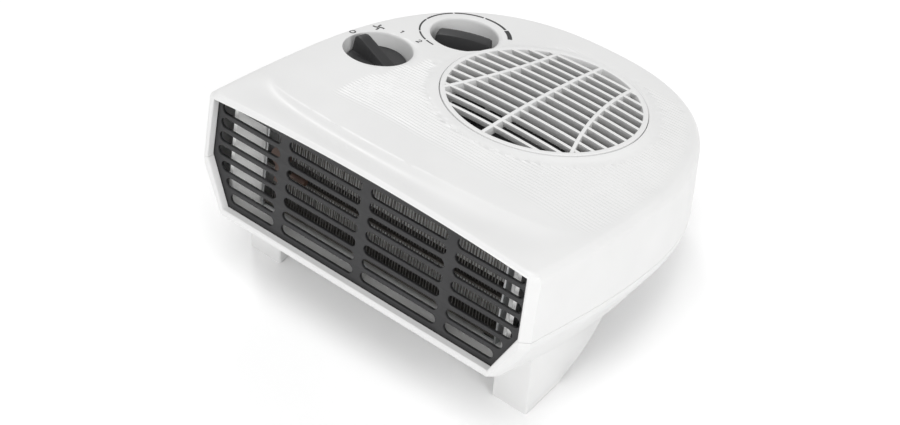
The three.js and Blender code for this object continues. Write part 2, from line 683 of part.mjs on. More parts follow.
// ---- fan and motor ----------------------------------------------------------------------
function impeller() {
  const plate = turned(...FAN, [
    [SHAFT_RADIUS + GAP, -18], [5.5, -18], [7, -23], [24, -33.5], [56, FAN_PLATE_W],
    [56, FAN_PLATE_W - 1.6], [24, FAN_PLATE_W - 1.6], [10, -30], [SHAFT_RADIUS + GAP, -29],
  ], 32);
  const shroud = turned(...FAN, [
    [49.5, BLADE_TOP_W], [49.5, BLADE_TOP_W - 1.4], [56, BLADE_TOP_W - 1.4], [56, BLADE_TOP_W],
  ], 32);
  const inner = 43;
  const outer = 55.6;
  const face = [0, 0.5, 1].map((t) => [inner + (outer - inner) * t, 7 * t * t]);
  const back = [...face].reverse().map(([x, y]) => [x - 0.3, y + 1]);
  let wheel = join(plate, shroud);
  for (let i = 0; i < BLADE_COUNT; i += 1) {
    const a = (i / BLADE_COUNT) * Math.PI * 2;
    const turn = ([x, y]) => [
      FAN[0] + x * Math.cos(a) + y * Math.sin(a),
      FAN[1] + x * Math.sin(a) - y * Math.cos(a),
    ];
    wheel = wheel.add(prismW([...face, ...back].map(turn), FAN_PLATE_W - 0.8, BLADE_TOP_W - 0.5));
  }
  return wheel;
}

const STACK_W = [MOTOR_W - STACK_HALF, MOTOR_W + STACK_HALF];
const around = ([u, v]) => [FAN[0] + u, FAN[1] + v];
const rectangle = (u0, u1, v0, v1) => [[u0, v0], [u1, v0], [u1, v1], [u0, v1]].map(around);

function boltHoles() {
  return [-1, 1].map((side) => post(FAN[0] + side * BOLT_REACH, FAN[1], -90, 0, BOLT_CLEAR_RADIUS, 12));
}

function statorStack() {
  const block = prismW(rectangle(-24, 24, -20, 41), ...STACK_W, [rectangle(-15, 15, 17.4, 29)]);
  return cut(block, post(...FAN, -90, 0, ROTOR_RADIUS + 0.6, 32), ...boltHoles());
}

// a bridge over the rotor: feet on the iron stack, a flat top that holds the bearing
function bearingBridge(side) {
  const face = side > 0 ? STACK_W[1] : STACK_W[0];
  const w = (rise) => face + side * rise;
  const strap = [
    [-23.5, w(GAP)], [-15.5, w(GAP)], [-11, w(5.4)], [11, w(5.4)], [15.5, w(GAP)], [23.5, w(GAP)],
    [23.5, w(1.5)], [16.2, w(1.5)], [11.8, w(6.8)], [-11.8, w(6.8)], [-16.2, w(1.5)], [-23.5, w(1.5)],
  ].map(([u, height]) => [FAN[0] + u, height]);
  const bridge = prismV(strap, FAN[1] - 7, FAN[1] + 7);
  return cut(bridge, post(...FAN, -90, 0, BEARING_RADIUS + GAP, 20), ...boltHoles());
}

function bearing(side) {
  const face = side > 0 ? STACK_W[1] : STACK_W[0];
  const [low, high] = [face + side * 3.2, face + side * 7.6].sort((a, b) => a - b);
  return cut(post(...FAN, low, high, BEARING_RADIUS, 20), post(...FAN, -90, 0, SHAFT_RADIUS + GAP, 16));
}

const COIL_V = [FAN[1] + 29, FAN[1] + 41];
function coilTube(clear, thick, u0, u1) {
  const reach = clear + thick;
  const ring = (grow) => [COIL_V[0] - grow, COIL_V[1] + grow, STACK_W[0] - grow, STACK_W[1] + grow];
  const [v0, v1, w0, w1] = ring(reach);
  const [a0, a1, b0, b1] = ring(clear);
  return cut(box([u0, v0, w0], [u1, v1, w1]), box([u0 - 1, a0, b0], [u1 + 1, a1, b1]));
}

const coilBobbin = () => join(
  coilTube(GAP, 0.8, FAN[0] - 14, FAN[0] + 14),
  coilTube(GAP, 5.2, FAN[0] - 14.5, FAN[0] - 13.3),
  coilTube(GAP, 5.2, FAN[0] + 13.3, FAN[0] + 14.5),
);
const coilWinding = () => coilTube(GAP * 2 + 0.8, 3.8, FAN[0] - 13, FAN[0] + 13);

// a screw from its head at headW to its tip at tipW, which may point up or down
function pointedScrew(u, v, headW, tipW, headRadius, headHeight, shankRadius) {
  const step = headW > tipW ? 1 : -1;
  const points = [
    [0, tipW], [shankRadius * 0.5, tipW], [shankRadius, tipW + step * 2], [shankRadius, headW],
    [headRadius, headW], [headRadius, headW + step * headHeight * 0.6], [0, headW + step * headHeight],
  ];
  return turned(u, v, points, 10);
}

// ---- heating element --------------------------------------------------------------------
function endPlate(side) {
  const inner = ELEMENT_HALF;
  const baseOfPlate = DUCT_FLOOR_W + GAP;
  const [screwU, screwV] = ELEMENT_SCREW;
  const plate = box(
    [inner, ELEMENT_V[0], baseOfPlate],
    [inner + SHEET, ELEMENT_V[1], ELEMENT_W[1] + 2],
  );
  const foot = box([inner - 9.5, screwV - 5, baseOfPlate], [inner + 0.6, screwV + 5, baseOfPlate + SHEET]);
  const hole = post(screwU, screwV, -90, -60, ELEMENT_SCREW_CLEAR, 12);
  const geometry = toGeometry(cut(join(plate, foot), hole));
  return toSolid(geometry.scale(side, 1, 1));
}

function micaBoard(w) {
  const reach = ELEMENT_HALF - GAP;
  return box([-reach, ELEMENT_V[0] + 0.4, w - 0.5], [reach, ELEMENT_V[1] - 0.4, w + 0.5]);
}

// a zigzag ribbon between two boards
function heatingWire(lowW, highW) {
  const count = 44;
  const thick = 5;
  const half = 86;
  const top = [];
  for (let i = 0; i <= count; i += 1) {
    const u = half * (2 * i / count - 1);
    top.push([u, i % 2 ? highW : lowW + thick]);
  }
  const under = top.map(([u, w]) => [u, w - thick]).reverse();
  return prismV([...top, ...under], 38.6, 39.4);
}

// middle heights of the three boards
const MICA_W = [ELEMENT_W[1] - 0.5, (ELEMENT_W[0] + ELEMENT_W[1]) / 2, ELEMENT_W[0] + 1.6];

function thermalCutout() {
  const can = new THREE.CylinderGeometry(6.5, 6.5, 4, 24);
  can.translate(-77, 28.6, -30);
  const bracket = box([-79, 26, -47], [-75, 26.8, -24]);
  return join(toSolid(can), bracket);
}

function thermalFuse() {
  const tube = new THREE.CylinderGeometry(2, 2, 11, 16);
  tube.rotateZ(Math.PI / 2);
  tube.translate(-62, 29.2, -39);
  return toSolid(tube);
}

// ---- small outer parts ------------------------------------------------------------------
function cordGrommet() {
  const parts = [[5.5, 250, 261], [7.6, 248.6, 251.8], [7.6, 260.2, 262.6]];
  const body = parts.map(([radius, v0, v1]) => inletHole(radius, v0, v1));
  return cut(join(...body), inletHole(3.4, 240, 270));
}

// a rubber pad under the back of the case, cut level with the floor
function rearPad([u, v]) {
  const reach = 9;
  const floorAt = (x) => (x * SIN - TOP_HEIGHT) / COS;
  const topAt = (x) => baseW(x) - GAP;
  const side = [
    [v - reach, floorAt(v - reach)], [v + reach, floorAt(v + reach)],
    [v + reach, topAt(v + reach)], [v - reach, topAt(v - reach)],
  ];
  return prismU(side, u - 11, u + 11).intersect(post(u, v, -150, 0, 10, 28));
}

// ---- the assembly -----------------------------------------------------------------------
const heater = new THREE.Group();
const body = new THREE.Group();
body.rotation.x = -TILT;
body.position.set(0, -CENTRE_Y, TOP_HEIGHT);
heater.add(body);

function add(name, finish, solid) {
  const mesh = new THREE.Mesh(toGeometry(solid), material(...FINISH[finish]));
  mesh.name = name;
  body.add(mesh);
}

add('top_cover', 'white', topCover());
add('bottom_shell', 'white', bottomShell());
add('front_grille', 'black', frontGrille());
add('intake_grille', 'white', intakeGrille());
add('cord_grommet', 'rubber', cordGrommet());
PAD_SPOTS.forEach((spot, i) => add(`rear_pad_${['left', 'right'][i]}`, 'rubber', rearPad(spot)));

add('selector_knob', 'knob', knob(SELECTOR, SELECTOR_AT, SELECTOR_FIN, 3.4));
add('selector_spindle', 'nylon', spindle(SELECTOR));
add('selector_switch', 'bakelite', selectorSwitch());
for (let i = 0; i < 3; i += 1) add(`switch_terminal_${i + 1}`, 'brass', switchTerminal(i));
add('thermostat_knob', 'knob', knob(THERMOSTAT, THERMOSTAT_AT, THERMOSTAT_FIN, 4));
add('thermostat_spindle', 'brass', spindle(THERMOSTAT));
add('thermostat_frame', 'steel', thermostatFrame());
add('thermostat_insulator', 'nylon', thermostatStack());
add('thermostat_bimetal', 'brass', thermostatStrip(0));
add('thermostat_contact_arm', 'copper', thermostatStrip(1));

add('air_duct', 'ductWhite', airDuct());
add('impeller', 'fan', impeller());
add('motor_shaft', 'steel', post(...FAN, -74, -19.2, SHAFT_RADIUS, 16));
add('motor_rotor', 'iron', cut(
  post(...FAN, STACK_W[0] - GAP, STACK_W[1] + GAP, ROTOR_RADIUS, 32),
  post(...FAN, -90, 0, SHAFT_RADIUS + GAP, 16),
));
add('stator_stack', 'iron', statorStack());
add('coil_bobbin', 'nylon', coilBobbin());
add('coil_winding', 'copper', coilWinding());
add('upper_bearing_bridge', 'steel', bearingBridge(1));
add('lower_bearing_bridge', 'steel', bearingBridge(-1));
add('upper_bearing', 'brass', bearing(1));
add('lower_bearing', 'brass', bearing(-1));

add('element_plate_left', 'steel', endPlate(-1));
add('element_plate_right', 'steel', endPlate(1));
['top', 'middle', 'bottom'].forEach((place, i) => {
  add(`mica_board_${place}`, 'mica', micaBoard(MICA_W[i]));
});
add('heating_wire_upper', 'wire', heatingWire(MICA_W[1] + 0.8, MICA_W[0] - 0.8));
add('heating_wire_lower', 'wire', heatingWire(MICA_W[2] + 0.8, MICA_W[1] - 0.8));
add('thermal_cutout', 'bakelite', thermalCutout());
add('thermal_fuse', 'bakelite', thermalFuse());

SCREW_SPOTS.forEach(([u, v], i) => {
  const headW = baseW(v) + 5 - GAP;
  add(`case_screw_${i + 1}`, 'steel', pointedScrew(u, v, headW, -20, HEAD_RADIUS - 0.4, 2.2, SCREW_RADIUS));
});
DUCT_EARS.forEach(([u, v], i) => {
  add(`duct_screw_${i + 1}`, 'steel', pointedScrew(u, v, DECK_W + GAP, DECK_W - 16, 3.4, 1.8, 1.5));
});
[-1, 1].forEach((side, i) => {
  const u = FAN[0] + side * BOLT_REACH;
  add(`motor_screw_${i + 1}`, 'steel', pointedScrew(u, FAN[1], STACK_W[0] - 1.8, DECK_W - 3, 3, 1.8, 1.5));
  const foot = DUCT_FLOOR_W + GAP + SHEET + GAP;
  const [screwU, screwV] = ELEMENT_SCREW;
  add(`element_screw_${i + 1}`, 'steel', pointedScrew(side * screwU, screwV, foot, foot - 3, 2.9, 1.6, 1.4));
});

export default heater;
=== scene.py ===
"""Fan convector heater: the fine surfaces, materials, floor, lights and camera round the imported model.

Shapes are made in the case's own frame, in millimetres: u across, v back along the top face and
w square to the top face. CASE turns them into the model's frame, in metres.
"""
import json
import math

import bmesh
import bpy
import numpy as np
from mathutils import Matrix, Vector
from mathutils.geometry import delaunay_2d_cdt


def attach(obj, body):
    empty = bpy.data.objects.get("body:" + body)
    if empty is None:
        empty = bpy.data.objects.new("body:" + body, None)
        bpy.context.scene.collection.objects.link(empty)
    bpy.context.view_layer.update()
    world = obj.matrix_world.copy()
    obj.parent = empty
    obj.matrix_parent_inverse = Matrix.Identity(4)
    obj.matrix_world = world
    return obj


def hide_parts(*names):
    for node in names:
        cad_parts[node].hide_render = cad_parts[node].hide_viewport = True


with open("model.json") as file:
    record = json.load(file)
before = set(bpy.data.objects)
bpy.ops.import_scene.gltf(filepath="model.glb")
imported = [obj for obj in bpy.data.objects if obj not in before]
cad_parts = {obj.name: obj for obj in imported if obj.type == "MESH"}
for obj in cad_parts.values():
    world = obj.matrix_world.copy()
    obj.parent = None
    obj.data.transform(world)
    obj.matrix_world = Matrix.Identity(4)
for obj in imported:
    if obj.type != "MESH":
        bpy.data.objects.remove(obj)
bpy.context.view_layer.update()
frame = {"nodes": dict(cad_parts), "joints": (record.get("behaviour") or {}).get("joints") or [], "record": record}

# ---- the case frame, worked out from the selector's joint --------------------------------------
MM = 0.001
SELECTOR = (-93.9, 131.2)
THERMOSTAT = (-71.3, 191.5)
JOINT_W = -8.0
FAN = (15.0, 162.3)
joints = {joint["name"]: joint for joint in frame["joints"]}
AXIS = joints["selector_turn"]["axis"]
TILT = math.atan2(-AXIS[1], -AXIS[2])
SIN, COS = math.sin(TILT), math.cos(TILT)
JOINT_AT = joints["selector_turn"]["pos_m"]
CENTRE_Y = SELECTOR[1] * COS + JOINT_W * SIN - JOINT_AT[1] / MM
TOP_HEIGHT = JOINT_AT[2] / MM + SELECTOR[1] * SIN - JOINT_W * COS
CASE = Matrix((
    (MM, 0, 0, 0),
    (0, COS * MM, SIN * MM, -CENTRE_Y * MM),
    (0, -SIN * MM, COS * MM, TOP_HEIGHT * MM),
    (0, 0, 0, 1),
))

# ---- driving sizes, the same as the solid model's ----------------------------------------------
WALL = 2.4
HALF_WIDTH = 128.0
WIDEST_V = 95.0
FRONT_V = 9.5
BACK_REACH = 162.85
BACK_POWER = 2.45
FRONT_TAPER = 1 / 2100
CROWN = 4.47
EDGE_RADIUS = 6.0
FRONT_EDGE = 0.5            # how much of the edge's rounding the flat front gets
DRAFT = 3.2
PARTING_W = -44.0
LIP_W = -49.0
BASE_FRONT_W = -79.0
BASE_BACK_W = -75.5
BASE_INSET = 14.0
FRONT_TUCK = 2.5
CORNER = 4.6                # chamfer between the flat front and the sides
HALF_JOINT = 0.15           # half the gap between the case's two halves
MOUTH_FLARE = 0.9           # how far the outlet's front edge opens
COLLAR = 3.4                # thickness of the case round the outlet
COLLAR_START_V = FRONT_V + 1.2
COLLAR_END_V = 19.2
GROOVE = 1.2                # how deep the outlet grille's plate sits in the case
PLATE_PLAY = 0.3            # clearance round that plate
PLATE_V = 15.0
PLATE_THICK = 2.0
MOUTH_TOP = (117.8, -2.9)
MOUTH_KINK = (119.3, -43.0)
MOUTH_BASE = (103.6, -74.3)
MOUTH_ARCH = 4.9
SLOT_ROWS = 7
SLOT_PITCH = 9.75
SLOT_HEIGHT = 6.6
SLOT_TOP_W = -8.6
BAR_PITCH = 63.5
BAR_WIDTH = 6.4
INTAKE_RADIUS = 65.0
INTAKE_OPEN = 62.0
INTAKE_W = 4.6
INTAKE_DOME = 2.6
SLAT_COUNT = 13
SLAT_PITCH = 8.7
RECESS_RADIUS = 22.7
RECESS_FLOOR_RADIUS = 20.4
RECESS_FLOOR_W = -10.5
KNOB_RADIUS = 19.4
KNOB_TOP_W = -6.5
KNOB_BASE_W = -9.8
SELECTOR_AT = -80.0
THERMOSTAT_AT = -116.0
LEG_U = (86.2, 112.0)


# ---- camera ------------------------------------------------------------------------------------
def make_camera():
    azimuth, elevation = math.radians(39.73), math.radians(42.94)
    distance, lens = 1.179, 73.87           # metres from the target, and millimetres
    target_mm = (-19.26, 110 - CENTRE_Y, 20.68)
    target = Vector(target_mm) * MM
    back = Vector((
        math.sin(azimuth) * math.cos(elevation),
        -math.cos(azimuth) * math.cos(elevation),
        math.sin(elevation),
    ))
    data = bpy.data.cameras.new("camera")
    data.lens = lens
    data.sensor_width = 36
    data.clip_start = 0.05
    camera = bpy.data.objects.new("camera", data)
    camera.location = target + back * distance
    camera.rotation_euler = back.to_track_quat("Z", "Y").to_euler()
    bpy.context.scene.collection.objects.link(camera)
    bpy.context.scene.camera = camera


make_camera()


# ---- materials ---------------------------------------------------------------------------------
def node_material(name, roughness, metallic=0.0):
    material = bpy.data.materials.new(name)
    material.use_nodes = True
    shader = material.node_tree.nodes["Principled BSDF"]
    shader.inputs["Roughness"].default_value = roughness
    shader.inputs["Metallic"].default_value = metallic
    return material, shader


def add_noise(material, scale, detail=3.0, stretch=(1, 1, 1)):
    nodes, links = material.node_tree.nodes, material.node_tree.links
    coords = nodes.new("ShaderNodeTexCoord")
    mapping = nodes.new("ShaderNodeMapping")
    mapping.inputs["Scale"].default_value = stretch
    noise = nodes.new("ShaderNodeTexNoise")
    noise.inputs["Scale"].default_value = scale
    noise.inputs["Detail"].default_value = detail
    links.new(coords.outputs["Object"], mapping.inputs["Vector"])
    links.new(mapping.outputs["Vector"], noise.inputs["Vector"])
    return noise.outputs["Fac"]


def vary_colour(material, shader, fac, low, high):
    nodes, links = material.node_tree.nodes, material.node_tree.links
    ramp = nodes.new("ShaderNodeValToRGB")
    ramp.color_ramp.elements[0].position = 0.32
    ramp.color_ramp.elements[0].color = (*low, 1)
    ramp.color_ramp.elements[1].position = 0.68
    ramp.color_ramp.elements[1].color = (*high, 1)
    links.new(fac, ramp.inputs["Fac"])
    links.new(ramp.outputs["Color"], shader.inputs["Base Color"])


def vary_roughness(material, shader, fac, low, high):
    nodes, links = material.node_tree.nodes, material.node_tree.links
    spread = nodes.new("ShaderNodeMapRange")
    spread.inputs["From Min"].default_value = 0.3
    spread.inputs["From Max"].default_value = 0.7
    spread.inputs["To Min"].default_value = low
    spread.inputs["To Max"].default_value = high
    links.new(fac, spread.inputs["Value"])
    links.new(spread.outputs["Result"], shader.inputs["Roughness"])


def add_bump(material, shader, fac, strength, depth_mm):
    nodes, links = material.node_tree.nodes, material.node_tree.links
    bump = nodes.new("ShaderNodeBump")
    bump.inputs["Strength"].default_value = strength
    bump.inputs["Distance"].default_value = depth_mm * MM
    links.new(fac, bump.inputs["Height"])
    links.new(bump.outputs["Normal"], shader.inputs["Normal"])


def plastic(name, colour, roughness, spread=0.05, grain=2600, bump=0.12):
    material, shader = node_material(name, roughness)
    cloudy = add_noise(material, 22, 4)
    low = [channel * 0.965 for channel in colour]
    vary_colour(material, shader, cloudy, low, colour)
    vary_roughness(material, shader, add_noise(material, 60, 5), roughness - spread, roughness + spread)
    add_bump(material, shader, add_noise(material, grain, 2), bump, 0.05)
    return material


def metal(name, colour, roughness, stretch=(1, 1, 1), grain=900, dark=0.75):
    material, shader = node_material(name, roughness, 1.0)
    low = [channel * dark for channel in colour]
    vary_colour(material, shader, add_noise(material, 140, 6), low, colour)
    fine = add_noise(material, grain, 4, stretch)
    vary_roughness(material, shader, fine, roughness - 0.1, roughness + 0.12)
    add_bump(material, shader, fine, 0.2, 0.04)
    return material


def mica():
    material, shader = node_material("mica", 0.6)
    flakes = add_noise(material, 420, 6, (1, 1, 4))
    # Partly painted shade: the boards are coloured near black, darker than the mica itself, so the shaded element
    # behind the outlet shows dark.
    vary_colour(material, shader, flakes, (0.03, 0.027, 0.023), (0.07, 0.062, 0.052))
    vary_roughness(material, shader, flakes, 0.42, 0.75)
    add_bump(material, shader, flakes, 0.3, 0.08)
    return material


def laminated():
    material, shader = node_material("iron", 0.5, 1.0)
    nodes, links = material.node_tree.nodes, material.node_tree.links
    coords = nodes.new("ShaderNodeTexCoord")
    mapping = nodes.new("ShaderNodeMapping")
    mapping.inputs["Rotation"].default_value = (TILT, 0, 0)
    wave = nodes.new("ShaderNodeTexWave")
    wave.bands_direction = "Z"
    wave.inputs["Scale"].default_value = 320
    wave.inputs["Distortion"].default_value = 0.6
    links.new(coords.outputs["Object"], mapping.inputs["Vector"])
    links.new(mapping.outputs["Vector"], wave.inputs["Vector"])
    vary_colour(material, shader, wave.outputs["Fac"], (0.1, 0.1, 0.105), (0.27, 0.27, 0.28))
    vary_roughness(material, shader, add_noise(material, 200, 5), 0.4, 0.65)
    add_bump(material, shader, wave.outputs["Fac"], 0.5, 0.15)
    return material


LOOKS = {
    "case_white": plastic("case_white", (0.745, 0.745, 0.742), 0.36),
    "grille_black": plastic("grille_black", (0.014, 0.014, 0.015), 0.5, grain=1800, bump=0.2),
    "knob_black": plastic("knob_black", (0.014, 0.014, 0.015), 0.45, grain=2200, bump=0.15),
    "duct_white": plastic("duct_white", (0.93, 0.93, 0.92), 0.6, grain=1400, bump=0.2),
    "rubber": plastic("rubber", (0.045, 0.045, 0.045), 0.82, grain=900, bump=0.35),
    "steel": metal("steel", (0.62, 0.63, 0.64), 0.36, (1, 1, 6)),
    "iron": laminated(),
    "brass": metal("brass", (0.7, 0.52, 0.24), 0.34),
    "copper": metal("copper", (0.62, 0.3, 0.17), 0.36, (1, 14, 1)),
    "mica": mica(),
    # Partly painted shade: the wire's metal is coloured darker than bare resistance wire, so the shaded element
    # behind the outlet stays dark.
    "heating_wire": metal("heating_wire", (0.3, 0.29, 0.28), 0.4, dark=0.4),
    "bakelite": plastic("bakelite", (0.09, 0.052, 0.038), 0.42, grain=700, bump=0.2),
    "nylon": plastic("nylon", (0.74, 0.71, 0.64), 0.45, grain=1200, bump=0.15),
    "fan_black": plastic("fan_black", (0.016, 0.016, 0.017), 0.5, grain=1500, bump=0.15),
}
for row in frame["record"]["subparts"]:
    obj = frame["nodes"][row["node"]]
    obj.data.materials.clear()
    obj.data.materials.append(LOOKS[row["material_slot"]])


# ---- mesh helpers ------------------------------------------------------------------------------
def mesh_object(name, verts, faces):
    mesh = bpy.data.meshes.new(name)
    mesh.from_pydata([tuple(v) for v in verts], [], [tuple(f) for f in faces])
    obj = bpy.data.objects.new(name, mesh)
    bpy.context.scene.collection.objects.link(obj)
    work = bmesh.new()
    work.from_mesh(mesh)
    bmesh.ops.remove_doubles(work, verts=work.verts, dist=1e-4)
    bmesh.ops.recalc_face_normals(work, faces=work.faces)
    work.to_mesh(mesh)
    work.free()
    return obj


def soften(obj, degrees=32.0):
    """Smooth shading with creases where two faces meet at more than degrees."""
    work = bmesh.new()
    work.from_mesh(obj.data)
    limit = math.radians(degrees)
    for face in work.faces:
        face.smooth = True
    for edge in work.edges:
        flat = len(edge.link_faces) == 2 and edge.calc_face_angle(0) < limit
        edge.smooth = flat
    work.to_mesh(obj.data)
    work.free()


def finish_piece(obj, slot, body, *replaced, degrees=32.0):
    """Puts a piece made in the case frame into place and gives it its look and its body."""
    soften(obj, degrees)
    obj.data.transform(CASE)
    obj.data.materials.clear()
    obj.data.materials.append(LOOKS[slot])
    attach(obj, body)
    for node in replaced:
        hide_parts(node)
    return obj


def loft(rings, closed=False, caps=True):
    """Verts and faces of a skin over rings of equal counts; closed joins the last ring to the first."""
    count = len(rings[0])
    verts = [p for ring in rings for p in ring]
    faces = []
    spans = len(rings) if closed else len(rings) - 1
    for r in range(spans):
        a, b = r * count, ((r + 1) % len(rings)) * count
        for i in range(count):
            j = (i + 1) % count
            faces.append((a + i, a + j, b + j, b + i))
    if caps and not closed:
        faces.append(tuple(range(count))[::-1])
        last = (len(rings) - 1) * count
        faces.append(tuple(range(last, last + count)))
    return verts, faces


def merge(*parts):
    """Joins (verts, faces) parts into one."""
    verts, faces = [], []
    for part_verts, part_faces in parts:
        start = len(verts)
        verts.extend(part_verts)
        faces.extend(tuple(i + start for i in face) for face in part_faces)
    return verts, faces


def lathe(centre, profile, sides=96):
    """A turned body about an upright axis, from (radius, w) points; radius 0 closes it on the axis."""
    verts, faces, rows = [], [], []
    for radius, w in profile:
        if radius < 1e-6:
            verts.append((centre[0], centre[1], w))
            rows.append([len(verts) - 1] * sides)
            continue
        start = len(verts)
        for i in range(sides):
            a = 2 * math.pi * i / sides
            verts.append((centre[0] + radius * math.cos(a), centre[1] + radius * math.sin(a), w))
        rows.append(list(range(start, start + sides)))
    on_axis = profile[0][0] < 1e-6
    pairs = list(zip(rows, rows[1:])) if on_axis else list(zip(rows, rows[1:] + rows[:1]))
    for low, high in pairs:
        for i in range(sides):
            j = (i + 1) % sides
            quad = (low[i], low[j], high[j], high[i])
            face = tuple(dict.fromkeys(quad))
            if len(face) > 2:
                faces.append(face)
    return verts, faces


def arc(centre, radius, start, end, steps):
    """Points of an arc in a plane, degrees."""
    points = []
    for i in range(steps + 1):
        a = math.radians(start + (end - start) * i / steps)
        points.append((centre[0] + radius * math.cos(a), centre[1] + radius * math.sin(a)))
    return points


def rounded(points, radius, steps=4):
    """A closed outline with its corners rounded."""
    out = []
    count = len(points)
    for i, here in enumerate(points):
        here = Vector(here)
        before = Vector(points[i - 1]) - here
        after = Vector(points[(i + 1) % count]) - here
        reach = min(radius, before.length * 0.45, after.length * 0.45)
        start = here + before.normalized() * reach
        end = here + after.normalized() * reach
        for k in range(steps + 1):
            t = k / steps
            out.append(tuple(start.lerp(here, t).lerp(here.lerp(end, t), t)))
    return out


def boolean(obj, operation, cutters):
    """Joins or cuts obj with closed cutter objects, which are used up."""
    for cutter in cutters:
        modifier = obj.modifiers.new("cut", "BOOLEAN")
        modifier.operation = operation
        modifier.solver = "MANIFOLD"
        modifier.object = cutter
    depsgraph = bpy.context.evaluated_depsgraph_get()
    depsgraph.update()
    done = bpy.data.meshes.new_from_object(obj.evaluated_get(depsgraph))
    obj.modifiers.clear()
    obj.data = done
    for cutter in cutters:
        bpy.data.objects.remove(cutter)
    return obj


def smoothstep(value, low, high):
    t = np.clip((np.asarray(value, float) - low) / (high - low), 0, 1)
    return t * t * (3 - 2 * t)


# ---- the case's outline ------------------------------------------------------------------------
def half_width(v):
    """Half the case's width: nearly straight in front, and a superellipse behind WIDEST_V."""
    v = np.asarray(v, float)
    front = HALF_WIDTH - FRONT_TAPER * (WIDEST_V - v) ** 2
    t = np.clip((v - WIDEST_V) / BACK_REACH, 0, 1)
    back = HALF_WIDTH * (1 - t ** BACK_POWER) ** (1 / BACK_POWER)
    return np.where(v <= WIDEST_V, front, back)


def plan_outline():
    """The D outline: (u, v) points anticlockwise from the middle of the front, their outward
    normals, and a mask of the points on the flat front."""
    half = [(u, FRONT_V) for u in np.linspace(0, half_width(FRONT_V) - CORNER, 24)]
    half += [(float(half_width(v)), v) for v in np.linspace(FRONT_V + CORNER, WIDEST_V, 23)]
    for a in np.linspace(0, math.pi / 2, 72)[1:]:
        half.append((
            HALF_WIDTH * max(0.0, math.cos(a)) ** (2 / BACK_POWER),
            WIDEST_V + BACK_REACH * math.sin(a) ** (2 / BACK_POWER),
        ))
    points = np.array(half + [(-u, v) for u, v in half[-2:0:-1]])
    before, after = np.roll(points, 1, 0), np.roll(points, -1, 0)
    on_front = points[:, 1] < FRONT_V + 0.01
    before = np.where(np.roll(on_front, 1)[:, None], points, before)
    after = np.where(np.roll(on_front, -1)[:, None], points, after)
    along = np.where(on_front[:, None], [[1.0, 0.0]], after - before)
    normals = np.stack([along[:, 1], -along[:, 0]], 1)
    normals /= np.linalg.norm(normals, axis=1)[:, None]
    return points, normals, on_front


OUTLINE, NORMALS, ON_FRONT = plan_outline()


def lean(v):
    """How far the sides stand out at the parting line."""
    return DRAFT * (0.3 + 0.7 * smoothstep(v, FRONT_V, WIDEST_V))


def tuck(v):
    """How far the base stands out from the outline; it is negative, because the base is smaller."""
    return lean(v) - BASE_INSET - FRONT_TUCK * (1 - smoothstep(v, FRONT_V, 60))


def grown(reach, front_reach=None):
    """The outline moved outwards by reach. Its flat front moves by front_reach, and widens with
    the sides."""
    reach = np.broadcast_to(reach, ON_FRONT.shape)
    front_reach = reach if front_reach is None else np.broadcast_to(front_reach, ON_FRONT.shape)
    wider = OUTLINE[:, 0] * (1 + reach / half_width(FRONT_V))
    front = np.stack([wider, OUTLINE[:, 1] - front_reach], 1)
    return np.where(ON_FRONT[:, None], front, OUTLINE + NORMALS * reach[:, None])


def crown(u, v):
    """Height of the top face, which is arched across and flatter at the back."""
    fade = 1 - 0.55 * smoothstep(v, 150, 258)
    return CROWN * fade * np.clip(1 - (np.asarray(u) / HALF_WIDTH) ** 2, 0, None)


def base_w(v):
    """Height of the case's flat base."""
    slope = (BASE_BACK_W - BASE_FRONT_W) / (WIDEST_V + BACK_REACH - FRONT_V)
    return BASE_FRONT_W + slope * (np.asarray(v) - FRONT_V)


def at_height(plan, w):
    w = np.broadcast_to(w, len(plan))
    return [(p[0], p[1], height) for p, height in zip(plan, w)]


def mouth(grow, arch_steps=24):
    """The outlet's six-sided outline, with its arched top, as (u, w) points moved out by grow."""
    points = [
        (-MOUTH_BASE[0] - grow * 0.6, MOUTH_BASE[1] - grow),
        (MOUTH_BASE[0] + grow * 0.6, MOUTH_BASE[1] - grow),
        (MOUTH_KINK[0] + grow, MOUTH_KINK[1]),
    ]
    reach, top = MOUTH_TOP[0] + grow, MOUTH_TOP[1] + grow
    for i in range(arch_steps + 1):
        t = 1 - 2 * i / arch_steps
        points.append((reach * t, top + MOUTH_ARCH * (1 - t * t)))
    points.append((-MOUTH_KINK[0] - grow, MOUTH_KINK[1]))
    return points


def mouth_half(w):
    """Half the outlet's width at height w."""
    upper, lower = (MOUTH_TOP, MOUTH_KINK) if w > MOUTH_KINK[1] else (MOUTH_KINK, MOUTH_BASE)
    t = (w - upper[1]) / (lower[1] - upper[1])
    return upper[0] + t * (lower[0] - upper[0])


def mouth_cutter(name, stations):
    """A closed cutter through the outlet, from (v, grow) stations."""
    rings = [[(u, v, w) for u, w in mouth(grow)] for v, grow in stations]
    return mesh_object(name, *loft(rings))


def outlet_cutters():
    """The outlet's opening with its flared front edge, and the groove for the grille's plate."""
    flare = [(-5, MOUTH_FLARE), (FRONT_V, MOUTH_FLARE), (FRONT_V + 0.35, 0.35), (FRONT_V + 0.9, 0)]
    groove = [(PLATE_V - PLATE_PLAY, GROOVE), (PLATE_V + PLATE_THICK + PLATE_PLAY, GROOVE)]
    return [mouth_cutter("outlet", [*flare, (23, 0)]), mouth_cutter("groove", groove)]


def outlet_collar():
    """The case's material round the outlet, which stays when a half is hollowed out."""
    stations = [(COLLAR_START_V, COLLAR), (COLLAR_END_V, COLLAR)]
    return mouth_cutter("collar", stations)


# ---- the top's relief --------------------------------------------------------------------------
SMILE_FRONT = 12.6          # where the crescent-shaped dish behind the outlet starts
SMILE_END = 114.0           # how far it runs to each side
SMILE_DEPTH = 3.4
RIPPLE_PITCH = 2.8
RIPPLE_HEIGHT = 0.24
RIPPLE_SINK = 0.3           # the ripples lie this far below the plain face
RIPPLE_START = (60, 78)     # v over which they fade in
RIPPLE_END = (226, 240)     # v over which they fade out
PAD_TOP = 4.3               # height of the flat seat round the intake
PAD_EDGE = (66.2, 70.5)     # radii between which the seat runs out


